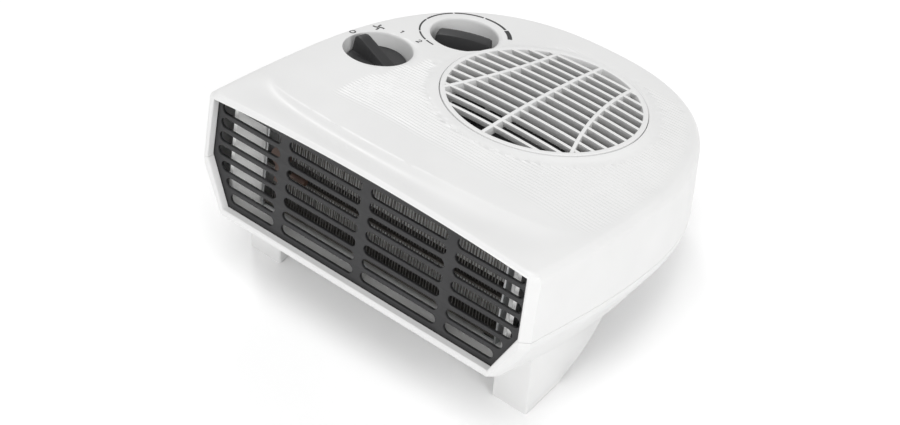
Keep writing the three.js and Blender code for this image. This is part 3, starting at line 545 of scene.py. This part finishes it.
def smile_edge(u):
    """The dish's rear edge, which curls back at both ends."""
    return 37.3 + 9.5 * ((u + 20) / 100) ** 2 + 9 * (np.abs(u) / SMILE_END) ** 12


def smile(u, v):
    """Depth of the shallow dish behind the outlet's top edge, with a crease along its rear edge."""
    t = np.clip((v - SMILE_FRONT) / (smile_edge(u) - SMILE_FRONT), 0, 1)
    reach = np.clip(1 - (np.abs(u) / SMILE_END) ** 4, 0, 1)
    power = 3.2 - 1.6 * smoothstep(u, -90, 40)
    peak = power / (power + 1)
    shape = t ** power * (1 - t) / (peak ** power * (1 - peak))
    return SMILE_DEPTH * reach * shape


def ripples(u, v):
    """Fine waves across the top, from a swept line on the left to the right side."""
    edge = -74 + 0.0062 * np.clip(v - 76, 0, None) ** 1.8
    mask = smoothstep(u, edge, edge + 1.6)
    mask = mask * smoothstep(v, *RIPPLE_START) * (1 - smoothstep(v, *RIPPLE_END))
    radius = np.hypot(u - FAN[0], v - FAN[1])
    inside = half_width(v) - EDGE_RADIUS - np.abs(u)
    mask = mask * smoothstep(radius, 69.5, 73) * smoothstep(inside, 0.5, 7)
    phase = v + 0.6 * np.sin(u / 23 + 1) + 0.4 * np.sin(u / 9 + v / 31)
    wave = np.sin(2 * math.pi * phase / RIPPLE_PITCH)
    return mask * (RIPPLE_HEIGHT * wave - RIPPLE_SINK)


def top_height(u, v):
    """Height of the top face with its relief."""
    radius = np.hypot(u - FAN[0], v - FAN[1])
    plain = crown(u, v)
    pad = 1 - smoothstep(radius, *PAD_EDGE)
    return plain + (PAD_TOP - plain) * pad + ripples(u, v) - smile(u, v)


def top_points(ring):
    """Where the top face is sampled: finely across the ripples, more coarsely elsewhere. Points
    near the ring, the face's edge, are left out."""
    patches = [                                     # start, end and step, in v and then in u
        ((60.2, 241, 0.46), (-76, 122, 5.0)),       # the ripples
        ((12.2, 60, 1.3), (-118, 119, 3.0)),        # the dish behind the outlet
        ((67.5, 256, 4.0), (-124, -78, 4.0)),       # the smooth left side
        ((242, 256, 3.0), (-76, 122, 4.0)),         # the smooth rear
    ]
    points = np.array([
        (u, v) for across_v, across_u in patches
        for v in np.arange(*across_v) for u in np.arange(*across_u)
    ])
    radius = np.hypot(points[:, 0] - FAN[0], points[:, 1] - FAN[1])
    points = points[radius > 73.6]
    for radius in (60.0, PAD_EDGE[0], 67.2, 68.2, 69.2, 70.4, 71.6, 72.8):
        circle = [(FAN[0] + radius * math.cos(a), FAN[1] + radius * math.sin(a))
                  for a in np.linspace(0, 2 * math.pi, 220, endpoint=False)]
        points = np.vstack([points, circle])
    along = np.roll(ring, -1, 0) - ring
    length = np.linalg.norm(along, axis=1)
    keep = np.ones(len(points), bool)
    for start, way, size in zip(ring, along, length):
        if size < 1e-6:
            continue
        side = (way[0] * (points[:, 1] - start[1]) - way[1] * (points[:, 0] - start[0])) / size
        keep &= side > 0.7
    return points[keep]


def top_cover_block():
    """The upper half as a solid block: its sides, its rounded edge and its top face in relief."""
    low = PARTING_W + HALF_JOINT
    high = crown(OUTLINE[:, 0], OUTLINE[:, 1]) - EDGE_RADIUS
    rings = [at_height(grown(lean(OUTLINE[:, 1]), 0), low)]
    for share in np.linspace(0, 1, 7)[1:-1]:
        side = lean(OUTLINE[:, 1]) * (1 - share)
        rings.append(at_height(grown(side, 0), low + (high - low) * share))
    for degrees in np.linspace(0, 90, 10):
        a = math.radians(degrees)
        inset = EDGE_RADIUS * (1 - math.cos(a))
        plan = grown(-inset, -inset * FRONT_EDGE)
        rings.append(at_height(plan, crown(plan[:, 0], plan[:, 1]) - EDGE_RADIUS * (1 - math.sin(a))))
    count = len(OUTLINE)
    verts, faces = loft(rings, caps=False)
    faces.append(tuple(range(count))[::-1])
    ring = grown(-EDGE_RADIUS, -EDGE_RADIUS * FRONT_EDGE)
    inner = top_points(ring)
    flat = [Vector(p) for p in np.vstack([ring, inner])]
    edges = [(i, (i + 1) % count) for i in range(count)]
    cap_verts, _, cap_faces, origins, *_ = delaunay_2d_cdt(flat, edges, [], 1, 1e-5)
    cap = np.array([(p.x, p.y) for p in cap_verts])
    on_ring = np.array([min(origin, default=count) < count for origin in origins])
    height = np.where(on_ring, crown(cap[:, 0], cap[:, 1]), top_height(cap[:, 0], cap[:, 1]))
    cap_part = ([(p[0], p[1], w) for p, w in zip(cap, height)], [tuple(f) for f in cap_faces])
    return mesh_object("top_cover_fine", *merge((verts, faces), cap_part))


def upper_hollow():
    """The inside of the case's upper half."""
    rings = [at_height(grown(lean(OUTLINE[:, 1]) - WALL, -WALL), PARTING_W - 2)]
    for inset, drop in ((0, 6), (2, 2.4), (6, 0)):
        plan = grown(-WALL - inset, -WALL - inset * FRONT_EDGE)
        rings.append(at_height(plan, crown(plan[:, 0], plan[:, 1]) - WALL - drop))
    return mesh_object("upper_hollow", *loft(rings))


def lower_hollow():
    """The inside of the case's lower half."""
    base = grown(tuck(OUTLINE[:, 1]) - WALL, -WALL)
    sides = grown(lean(OUTLINE[:, 1]) - WALL, -WALL)
    rings = [
        at_height(base, base_w(base[:, 1]) + WALL),
        at_height(sides, LIP_W),
        at_height(sides, PARTING_W + 2),
    ]
    return mesh_object("lower_hollow", *loft(rings))


def recess_cutter(name, centre):
    """Cuts a knob's round recess, with a rounded rim and a rounded foot."""
    rim_round, rim_drop, foot_round = 0.9, 3.2, 1.5
    rim = [
        (RECESS_RADIUS + rim_round - rim_round * math.cos(a) - rim_round / 2,
         -1.4 + rim_drop * math.sin(a))
        for a in np.linspace(0, math.pi / 2, 6)
    ]
    foot = [
        (RECESS_FLOOR_RADIUS - foot_round + foot_round * math.sin(a),
         RECESS_FLOOR_W + foot_round - foot_round * math.cos(a))
        for a in np.linspace(0, math.pi / 2, 5)
    ]
    above = [(RECESS_RADIUS + 3.0, 3.4), (RECESS_RADIUS + 6, 9), (0, 9)]
    return mesh_object(name, *lathe(centre, [(0, RECESS_FLOOR_W), *foot, *rim, *above], 120))


def bowl(index, centre):
    """The wall round a knob's recess, which stays when the upper half is hollowed out."""
    floor_w = RECESS_FLOOR_W - WALL
    profile = [(0, floor_w), (RECESS_FLOOR_RADIUS + 2, floor_w), (RECESS_RADIUS + 2.2, 0.6), (0, 0.6)]
    return mesh_object(f"bowl_{index}", *lathe(centre, profile, 96))


def disc_cutter(name, profile, sides=160):
    """A turned cutter on the fan's axis, from (radius, w) points."""
    return mesh_object(name, *lathe(FAN, profile, sides))


def top_cover():
    """The case's upper half, with the knobs' recesses and the intake grille's seat."""
    obj = top_cover_block()
    rim = INTAKE_RADIUS + 3
    kept = [bowl(index, centre) for index, centre in enumerate((SELECTOR, THERMOSTAT))]
    kept.append(disc_cutter("rim", [(0, -4), (rim, -4), (rim, 3), (0, 3)], 96))
    hollow = boolean(upper_hollow(), "DIFFERENCE", [outlet_collar()])
    hollow = boolean(hollow, "DIFFERENCE", kept)
    seat, lead_in = INTAKE_RADIUS + 0.3, INTAKE_RADIUS + 0.8
    cutters = [
        hollow,
        *outlet_cutters(),
        disc_cutter("seat", [(0, -1.5), (seat, -1.5), (seat, 3.7), (lead_in, 4.5), (lead_in, 9), (0, 9)]),
        disc_cutter("intake", [(0, -9), (INTAKE_OPEN, -9), (INTAKE_OPEN, 9), (0, 9)]),
        recess_cutter("selector_recess", SELECTOR),
        recess_cutter("thermostat_recess", THERMOSTAT),
    ]
    boolean(obj, "DIFFERENCE", cutters)
    return finish_piece(obj, "case_white", "case", "top_cover")


top_cover()


# ---- lower shell with its two legs -------------------------------------------------------------
LEG_HEEL = 53.0             # y of the foot's rear edge, in the floor's frame
LEG_FRONT = 21.4            # y of its front edge
LEG_TOP = 58.0              # height up to which the leg's block reaches, inside the case
LEG_SOFT = 1.4              # rounding of its side edges
BASE_ROUND = 3.0            # rounding of the base's edge


def from_world(y, z):
    """(v, w) of a point given by its y and its height above the floor."""
    rise = z - TOP_HEIGHT
    return y * COS - rise * SIN, y * SIN + rise * COS


def leg_block(side):
    """One front leg, with its curved heel: side is -1 or 1."""
    points = [(LEG_FRONT + 6.2, LEG_TOP), (LEG_FRONT, 0), (LEG_HEEL, 0)]
    heel_steps = 16
    for i in range(1, heel_steps + 1):
        t = i / heel_steps
        points.append((LEG_HEEL + 42 * t ** 0.72, 3 + 20 * t ** 1.5))
    points.append((100, LEG_TOP))
    outline = [from_world(y, z) for y, z in points]
    middle = Vector((sum(p[0] for p in outline), sum(p[1] for p in outline))) / len(outline)
    rings = []
    low, high = LEG_U if side > 0 else (-LEG_U[1], -LEG_U[0])
    for degrees in (90, 60, 30, 0):
        a = math.radians(degrees)
        inset = LEG_SOFT * (1 - math.cos(a))
        rings.append((low + LEG_SOFT * (1 - math.sin(a)), inset))
    rings += [(high - (u - low), inset) for u, inset in reversed(rings)]
    skins = []
    for u, inset in rings:
        ring = []
        for p in outline:
            way = middle - Vector(p)
            step = Vector(p) + way.normalized() * inset
            ring.append((u, step.x, step.y))
        skins.append(ring)
    leg = mesh_object("leg", *loft(skins))
    around = ((-150, -50), (150, -50), (150, 300), (-150, 300))
    inside = mesh_object("inside", *loft([[(u, v, w) for u, v in around] for w in (-62, 60)]))
    return boolean(leg, "DIFFERENCE", [inside])


def bottom_shell():
    """The case's lower half: a rounded base, sides that lean out to the parting line, two legs."""
    v = OUTLINE[:, 1]
    rings = []
    for degrees in (0, 22, 45, 67, 90):
        a = math.radians(degrees)
        inset = BASE_ROUND * (1 - math.sin(a))
        plan = grown(tuck(v) - inset, -BASE_ROUND * FRONT_EDGE * (1 - math.sin(a)))
        rings.append(at_height(plan, base_w(plan[:, 1]) + BASE_ROUND * (1 - math.cos(a)) * 0.7))
    foot = grown(tuck(v), 0)
    foot_w = base_w(foot[:, 1]) + BASE_ROUND * 0.7
    for share in (0.3, 0.6, 0.9):
        side = tuck(v) + (lean(v) - tuck(v)) * share
        rings.append(at_height(grown(side, 0), foot_w + (LIP_W - 0.4 - foot_w) * share))
    rings.append(at_height(grown(lean(v) - 0.25, 0), LIP_W - 0.35))
    rings.append(at_height(grown(lean(v), 0), LIP_W + 0.3))
    rings.append(at_height(grown(lean(v), 0), PARTING_W - 0.5))
    rings.append(at_height(grown(lean(v) - 0.35, -0.35), PARTING_W - HALF_JOINT))
    obj = mesh_object("bottom_shell_fine", *loft(rings))
    boolean(obj, "UNION", [leg_block(-1), leg_block(1)])
    hollow = boolean(lower_hollow(), "DIFFERENCE", [outlet_collar()])
    boolean(obj, "DIFFERENCE", [hollow, *outlet_cutters()])
    return finish_piece(obj, "case_white", "case", "bottom_shell")


bottom_shell()


# ---- outlet grille -----------------------------------------------------------------------------
def plate_from_outlines(name, outlines, v0, v1, edge):
    """A flat plate with holes and rounded edges, from (u, w) outlines, between v0 and v1."""
    curve = bpy.data.curves.new(name, "CURVE")
    curve.dimensions = "2D"
    curve.fill_mode = "BOTH"
    curve.extrude = (v1 - v0) / 2 - edge
    curve.bevel_depth = edge
    curve.bevel_resolution = 2
    curve.offset = -edge
    for outline in outlines:
        spline = curve.splines.new("POLY")
        spline.points.add(len(outline) - 1)
        for point, (x, y) in zip(spline.points, outline):
            point.co = (x, y, 0, 1)
        spline.use_cyclic_u = True
    holder = bpy.data.objects.new(name, curve)
    bpy.context.scene.collection.objects.link(holder)
    depsgraph = bpy.context.evaluated_depsgraph_get()
    mesh = bpy.data.meshes.new_from_object(holder.evaluated_get(depsgraph))
    bpy.data.objects.remove(holder)
    middle = (v0 + v1) / 2
    verts = [(p.co.x, middle - p.co.z, p.co.y) for p in mesh.vertices]
    faces = [tuple(f.vertices) for f in mesh.polygons]
    bpy.data.meshes.remove(mesh)
    return mesh_object(name, verts, faces)


def front_grille():
    """The outlet's black plate with its rows of round-ended slots."""
    outlines = [mouth(GROOVE - PLATE_PLAY)]
    radius = SLOT_HEIGHT / 2
    margin, plate_edge = 3, 0.35
    bars = [-BAR_PITCH, 0.0, BAR_PITCH]
    for row in range(SLOT_ROWS):
        w = SLOT_TOP_W - row * SLOT_PITCH
        end = min(mouth_half(w - radius), mouth_half(w + radius)) - margin
        edges = [-end - BAR_WIDTH / 2, *bars, end + BAR_WIDTH / 2]
        for left, right in zip(edges, edges[1:]):
            low, high = left + BAR_WIDTH / 2 + radius, right - BAR_WIDTH / 2 - radius
            outlines.append(arc((low, w), radius, 90, 270, 12) + arc((high, w), radius, -90, 90, 12))
    back = PLATE_V + PLATE_THICK
    obj = plate_from_outlines("front_grille_fine", outlines, PLATE_V, back, plate_edge)
    return finish_piece(obj, "grille_black", "case", "front_grille", degrees=40)


front_grille()


# ---- intake grille -----------------------------------------------------------------------------
def dome_w(du, dv):
    """Height of the intake grille's domed top, from the distance to the fan's axis."""
    return INTAKE_W + 0.3 + INTAKE_DOME * max(0.0, 1 - (du * du + dv * dv) / INTAKE_OPEN ** 2)


def slat(index):
    """One slat across the intake, leaning back as it goes down."""
    dv = (index - (SLAT_COUNT - 1) / 2) * SLAT_PITCH
    depth = 5.2 if index < 3 else 6.5
    sweep = 2.2
    section = rounded([(-1.3, 0), (1.3, 0), (1.1 + sweep, -depth), (-0.9 + sweep, -depth)], 0.5, 3)
    rings = []
    for t in np.linspace(-1, 1, 17):
        ring = []
        for across, down in section:
            reach = math.sqrt(max(1.0, (INTAKE_OPEN + 0.8) ** 2 - (dv + across) ** 2))
            du = t * reach
            ring.append((FAN[0] + du, FAN[1] + dv + across, dome_w(du, dv) + down))
        rings.append(ring)
    return loft(rings)


def rib(side):
    """A rib from front to back: straight for side 0, and bowed for -1 and 1."""
    def du_at(dv):
        return side * (35.8 - 0.248 * dv + 0.00224 * dv * dv)

    rows = np.linspace(-63, 63, 253)
    inside = [dv for dv in rows if math.hypot(du_at(dv), dv) < INTAKE_OPEN + 0.8]
    section = rounded([(-1.25, 0), (1.25, 0), (1.0, -6.4), (-1.0, -6.4)], 0.45, 3)
    rings = []
    for dv in np.linspace(inside[0], inside[-1], 33):
        du = du_at(dv)
        rings.append([(FAN[0] + du + across, FAN[1] + dv, dome_w(du, dv) + 0.3 + down)
                      for across, down in section])
    return loft(rings)


def intake_grille():
    """The round grille over the fan: a ring, ribs and slats."""
    section = rounded([
        (INTAKE_OPEN - 0.4, -1.2), (INTAKE_RADIUS, -1.2), (INTAKE_RADIUS, INTAKE_W + 0.45),
        (INTAKE_OPEN - 0.4, INTAKE_W + 0.45),
    ], 0.7, 4)
    parts = [lathe(FAN, section, 160), rib(-1), rib(0), rib(1)]
    parts += [slat(index) for index in range(SLAT_COUNT)]
    obj = mesh_object("intake_grille_fine", *merge(*parts))
    return finish_piece(obj, "case_white", "case", "intake_grille", degrees=38)


intake_grille()


# ---- knobs -------------------------------------------------------------------------------------
def fin_loft(side_points, half_base, half_top, foot_w):
    """A finger fin along +v: side_points are (along, height), each section narrow at its top."""
    rings = []
    for along, height in side_points:
        ring = []
        rise = height - foot_w
        right = [
            (half_top * 0.4, rise), (half_top - 0.8, rise - 0.08), (half_top - 0.25, rise - 0.3),
            (half_top, rise - 0.8), (half_base, 1.3), (half_base + 0.4, 0.45), (half_base + 1.4, 0),
        ]
        section = [(-across, up) for across, up in reversed(right)] + right
        for across, up in section:
            limit = math.sqrt((KNOB_RADIUS - 0.7) ** 2 - across ** 2)
            reach = max(-limit, min(limit, along))
            ring.append((across, reach, foot_w + max(-0.4, min(up, rise))))
        rings.append(ring)
    return loft(rings)


def turned_about(part, centre, degrees):
    """Turns a part clockwise seen from above, then moves it to centre."""
    a = -math.radians(degrees)
    ca, sa = math.cos(a), math.sin(a)
    verts = [(centre[0] + x * ca - y * sa, centre[1] + x * sa + y * ca, w) for x, y, w in part[0]]
    return verts, part[1]


def knob(node, body, centre, degrees, side_points, half_base, half_top):
    """A knob: a round disc, a sleeve over its spindle and a finger fin."""
    rim = arc((KNOB_RADIUS - 1, KNOB_TOP_W - 1), 1.0, 0, 90, 5)
    disc = lathe((0, 0), [
        (0, KNOB_BASE_W), (KNOB_RADIUS - 0.8, KNOB_BASE_W), (KNOB_RADIUS, KNOB_BASE_W + 0.8), *rim,
        (KNOB_RADIUS - 4, KNOB_TOP_W - 0.15), (8, KNOB_TOP_W + 0.1), (0, KNOB_TOP_W + 0.2),
    ], 96)
    radius, foot, head = 4.4, -14, KNOB_BASE_W + 0.4
    sleeve = lathe((0, 0), [(0, foot), (radius, foot), (radius, head), (0, head)], 32)
    fin = fin_loft(side_points, half_base, half_top, KNOB_TOP_W - 0.3)
    parts = [turned_about(part, centre, degrees) for part in (disc, sleeve, fin)]
    obj = mesh_object(f"{node}_fine", *merge(*parts))
    return finish_piece(obj, "knob_black", body, node, degrees=40)


def selector_side():
    """The selector fin's side view: a wedge that rises to its pointing end."""
    points = [(-19.4, -6.6), (-18, -5.6)]
    points += [(-15 + i * 2.0, -5.0 + 8.4 * (i / 14) ** 0.95) for i in range(15)]
    points += [(14.6, 3.55), (16, 3.5), (17.2, 3.1), (18.0, 2.3), (18.5, 1.0), (19.4, -6.6)]
    return points


def thermostat_side():
    """The thermostat fin's side view: a low, even arch."""
    points = [(-19.4, -6.0), (-18.7, -2.6), (-17.8, -0.6), (-16, 0.5)]
    points += [(along, 0.7 + 0.9 * (1 - (along / 14) ** 2)) for along in np.linspace(-14, 14, 15)]
    points += [(16, 0.5), (17.8, -0.6), (18.7, -2.6), (19.4, -6.0)]
    return points


knob(
    "selector_knob", "selector", SELECTOR, SELECTOR_AT, selector_side(),
    half_base=5.6, half_top=4.2,
)
knob(
    "thermostat_knob", "thermostat", THERMOSTAT, THERMOSTAT_AT, thermostat_side(),
    half_base=6.6, half_top=5.2,
)


# ---- dial marks --------------------------------------------------------------------------------
MARK_RISE = 0.12            # how far a mark stands above the surface
MARK_SINK = 0.2             # how far it reaches below it


def edge_drop(u, v):
    """How far the rounded edge lies below the top face."""
    slope = half_width(v + 0.5) - half_width(v - 0.5)
    inside = np.clip((half_width(v) - np.abs(u)) / np.sqrt(1 + slope ** 2), 0, EDGE_RADIUS)
    return EDGE_RADIUS - np.sqrt(EDGE_RADIUS ** 2 - (EDGE_RADIUS - inside) ** 2)


def clockwise(centre, radius, degrees):
    """The point at a bearing from centre, in degrees clockwise from the back."""
    a = math.radians(degrees)
    return centre[0] + radius * math.sin(a), centre[1] + radius * math.cos(a)


def mark(name, bands):
    """Printed marks: thin slabs that follow the top face, each between a left and a right line."""
    parts = []
    for left, right in bands:
        rings = []
        for a, b in zip(left, right):
            wa, wb = (float(top_height(*p) - edge_drop(*p)) for p in (a, b))
            rings.append([
                (*a, wa - MARK_SINK), (*b, wb - MARK_SINK),
                (*b, wb + MARK_RISE), (*a, wa + MARK_RISE),
            ])
        parts.append(loft(rings))
    obj = mesh_object(name, *merge(*parts))
    return finish_piece(obj, "knob_black", "case")


def arc_band(centre, start, end, radius, half_thickness, steps):
    """A band along an arc, with half its thickness given for each bearing."""
    angles = np.linspace(start, end, steps)
    left = [clockwise(centre, radius - half_thickness(a), a) for a in angles]
    right = [clockwise(centre, radius + half_thickness(a), a) for a in angles]
    return left, right


def stroke(points, width):
    """A band of constant width along points."""
    path = [Vector(p) for p in points]
    left, right = [], []
    for i, here in enumerate(path):
        before, after = path[max(0, i - 1)], path[min(len(path) - 1, i + 1)]
        along = (after - before).normalized()
        across = Vector((-along.y, along.x)) * width / 2
        left.append(tuple(here - across))
        right.append(tuple(here + across))
    return left, right


MARK_REACH = 29.6
OFF_REACH = MARK_REACH - 3.3    # nearer the knob, to stay on the top face
OFF_AT, FAN_AT, ONE_AT, TWO_AT = -79, -40, -9, 22
SCALE_RADIUS = 29.5
SCALE_BREAKS = (-176, -160, -135, -97, -53, -12, 28, 55)    # bearings of the arc's ends and gaps
SCALE_GAP = 1.3                 # half a gap, in degrees


def off_mark():
    centre = clockwise(SELECTOR, OFF_REACH, OFF_AT)
    angles = np.linspace(0, 360, 40)
    ring = ([clockwise(centre, 1.35, a) for a in angles], [clockwise(centre, 2.25, a) for a in angles])
    mark("mark_off", [ring])


def fan_mark():
    centre = clockwise(SELECTOR, MARK_REACH, FAN_AT)
    blades = []
    for turn in (45, 135, 225, 315):
        root = Vector(clockwise(centre, 0.5, turn))
        bend = Vector(clockwise(centre, 2.3, turn + 6))
        tip = Vector(clockwise(centre, 4.0, turn + 30))
        path = [root.lerp(bend, t).lerp(bend.lerp(tip, t), t) for t in np.linspace(0, 1, 7)]
        blades.append(stroke([tuple(p) for p in path], 1.2))
    mark("mark_fan", blades)


def number_marks():
    one = Vector(clockwise(SELECTOR, MARK_REACH, ONE_AT))
    stem = [one + Vector((0.2, -1.9)), one + Vector((0.2, 1.9))]
    flag = [one + Vector((0.2, 1.8)), one + Vector((-1.0, 0.9))]
    mark("mark_one", [stroke(stem, 0.65), stroke(flag, 0.6)])
    two = Vector(clockwise(SELECTOR, MARK_REACH, TWO_AT))
    foot = two.y - 1.85
    curve = [*arc((two.x, two.y + 0.75), 1.2, 165, -35, 12), (two.x - 1.25, foot)]
    mark("mark_two", [stroke(curve, 0.6), stroke([(two.x - 1.4, foot), (two.x + 1.4, foot)], 0.6)])


def scale_half_thickness(bearing):
    """The thermostat's arc grows thicker as it goes round, and its last dash is the thickest."""
    first, last = SCALE_BREAKS[0], SCALE_BREAKS[-2]
    if bearing > last:
        return 1.5
    return 0.55 + 0.35 * ((bearing - first) / (last - first)) ** 2


def scale_mark():
    dashes = [
        arc_band(THERMOSTAT, start + SCALE_GAP, end - SCALE_GAP, SCALE_RADIUS, scale_half_thickness, 14)
        for start, end in zip(SCALE_BREAKS, SCALE_BREAKS[1:])
    ]
    mark("thermostat_scale", dashes)


off_mark()
fan_mark()
number_marks()
scale_mark()


# ---- heating wires -----------------------------------------------------------------------------
MICA_W = (-14.5, -42.75, -69.9)         # the mica boards' middles, from the top down
MICA_HALF = 0.7
WIRE_TIERS = {
    "heating_wire_upper": (MICA_W[1] + MICA_HALF, MICA_W[0] - MICA_HALF),
    "heating_wire_lower": (MICA_W[2] + MICA_HALF, MICA_W[1] - MICA_HALF),
}
WIRE_ROWS_V = (34.5, 41.0)
WIRE_REACH = 86                         # how far the wires run to each side
WIRE_PITCH = 2.2
WIRE_RADIUS = 0.32
WIRE_BOW = 0.35


def crimped_wire(node):
    """Fine resistance wire laced up and down between two boards, in two rows."""
    bottom, top = WIRE_TIERS[node]
    middle = (bottom + top) / 2
    section = [
        (WIRE_RADIUS * math.cos(a), WIRE_RADIUS * math.sin(a))
        for a in np.linspace(0, 2 * math.pi, 6, endpoint=False)
    ]
    count = int(2 * WIRE_REACH / WIRE_PITCH)
    parts = []
    for v in WIRE_ROWS_V:
        for i in range(count + 1):
            u = -WIRE_REACH + i * WIRE_PITCH
            bow = WIRE_BOW * math.sin(i * 1.7 + v)
            path = [(u, v, bottom), (u + bow * 0.4, v + bow, middle), (u, v, top)]
            parts.append(loft([[(x + du, y + dv, w) for du, dv in section] for x, y, w in path]))
    obj = mesh_object(f"{node}_fine", *merge(*parts))
    return finish_piece(obj, "heating_wire", "case", node, degrees=70)


for wire in WIRE_TIERS:
    crimped_wire(wire)


# ---- floor and light ---------------------------------------------------------------------------
def floor():
    """A plain white floor."""
    bpy.ops.mesh.primitive_plane_add(size=8, location=(0, 0, 0))
    plane = bpy.context.object
    plane.name = "floor"
    material, shader = node_material("floor", 0.7)
    cloudy = add_noise(material, 1.2, 2)
    vary_colour(material, shader, cloudy, (0.97, 0.97, 0.97), (0.985, 0.985, 0.985))
    plane.data.materials.append(material)


def area_light(name, location, size, power, aim=(0, 0, 0.06)):
    """A round soft light that faces the middle of the part."""
    data = bpy.data.lights.new(name, "AREA")
    data.shape = "DISK"
    data.size = size
    data.energy = power
    light = bpy.data.objects.new(name, data)
    light.location = location
    light.rotation_euler = (Vector(location) - Vector(aim)).to_track_quat("Z", "Y").to_euler()
    bpy.context.scene.collection.objects.link(light)


def studio():
    """An even white surround, with four soft lights."""
    world = bpy.data.worlds.new("studio")
    bpy.context.scene.world = world
    world.use_nodes = True
    background = world.node_tree.nodes["Background"]
    background.inputs["Color"].default_value = (1, 1, 1, 1)
    background.inputs["Strength"].default_value = 0.63
    area_light("key", (1.8, -0.3, 1.0), 1.2, 13)
    area_light("rear", (-1.3, 1.1, 1.5), 0.5, 7)
    area_light("top", (0.2, -0.4, 2.2), 1.2, 14)
    area_light("fill", (-0.4, -1.7, 0.4), 0.7, 6)
    bpy.context.scene.view_settings.view_transform = "Standard"


floor()
studio()
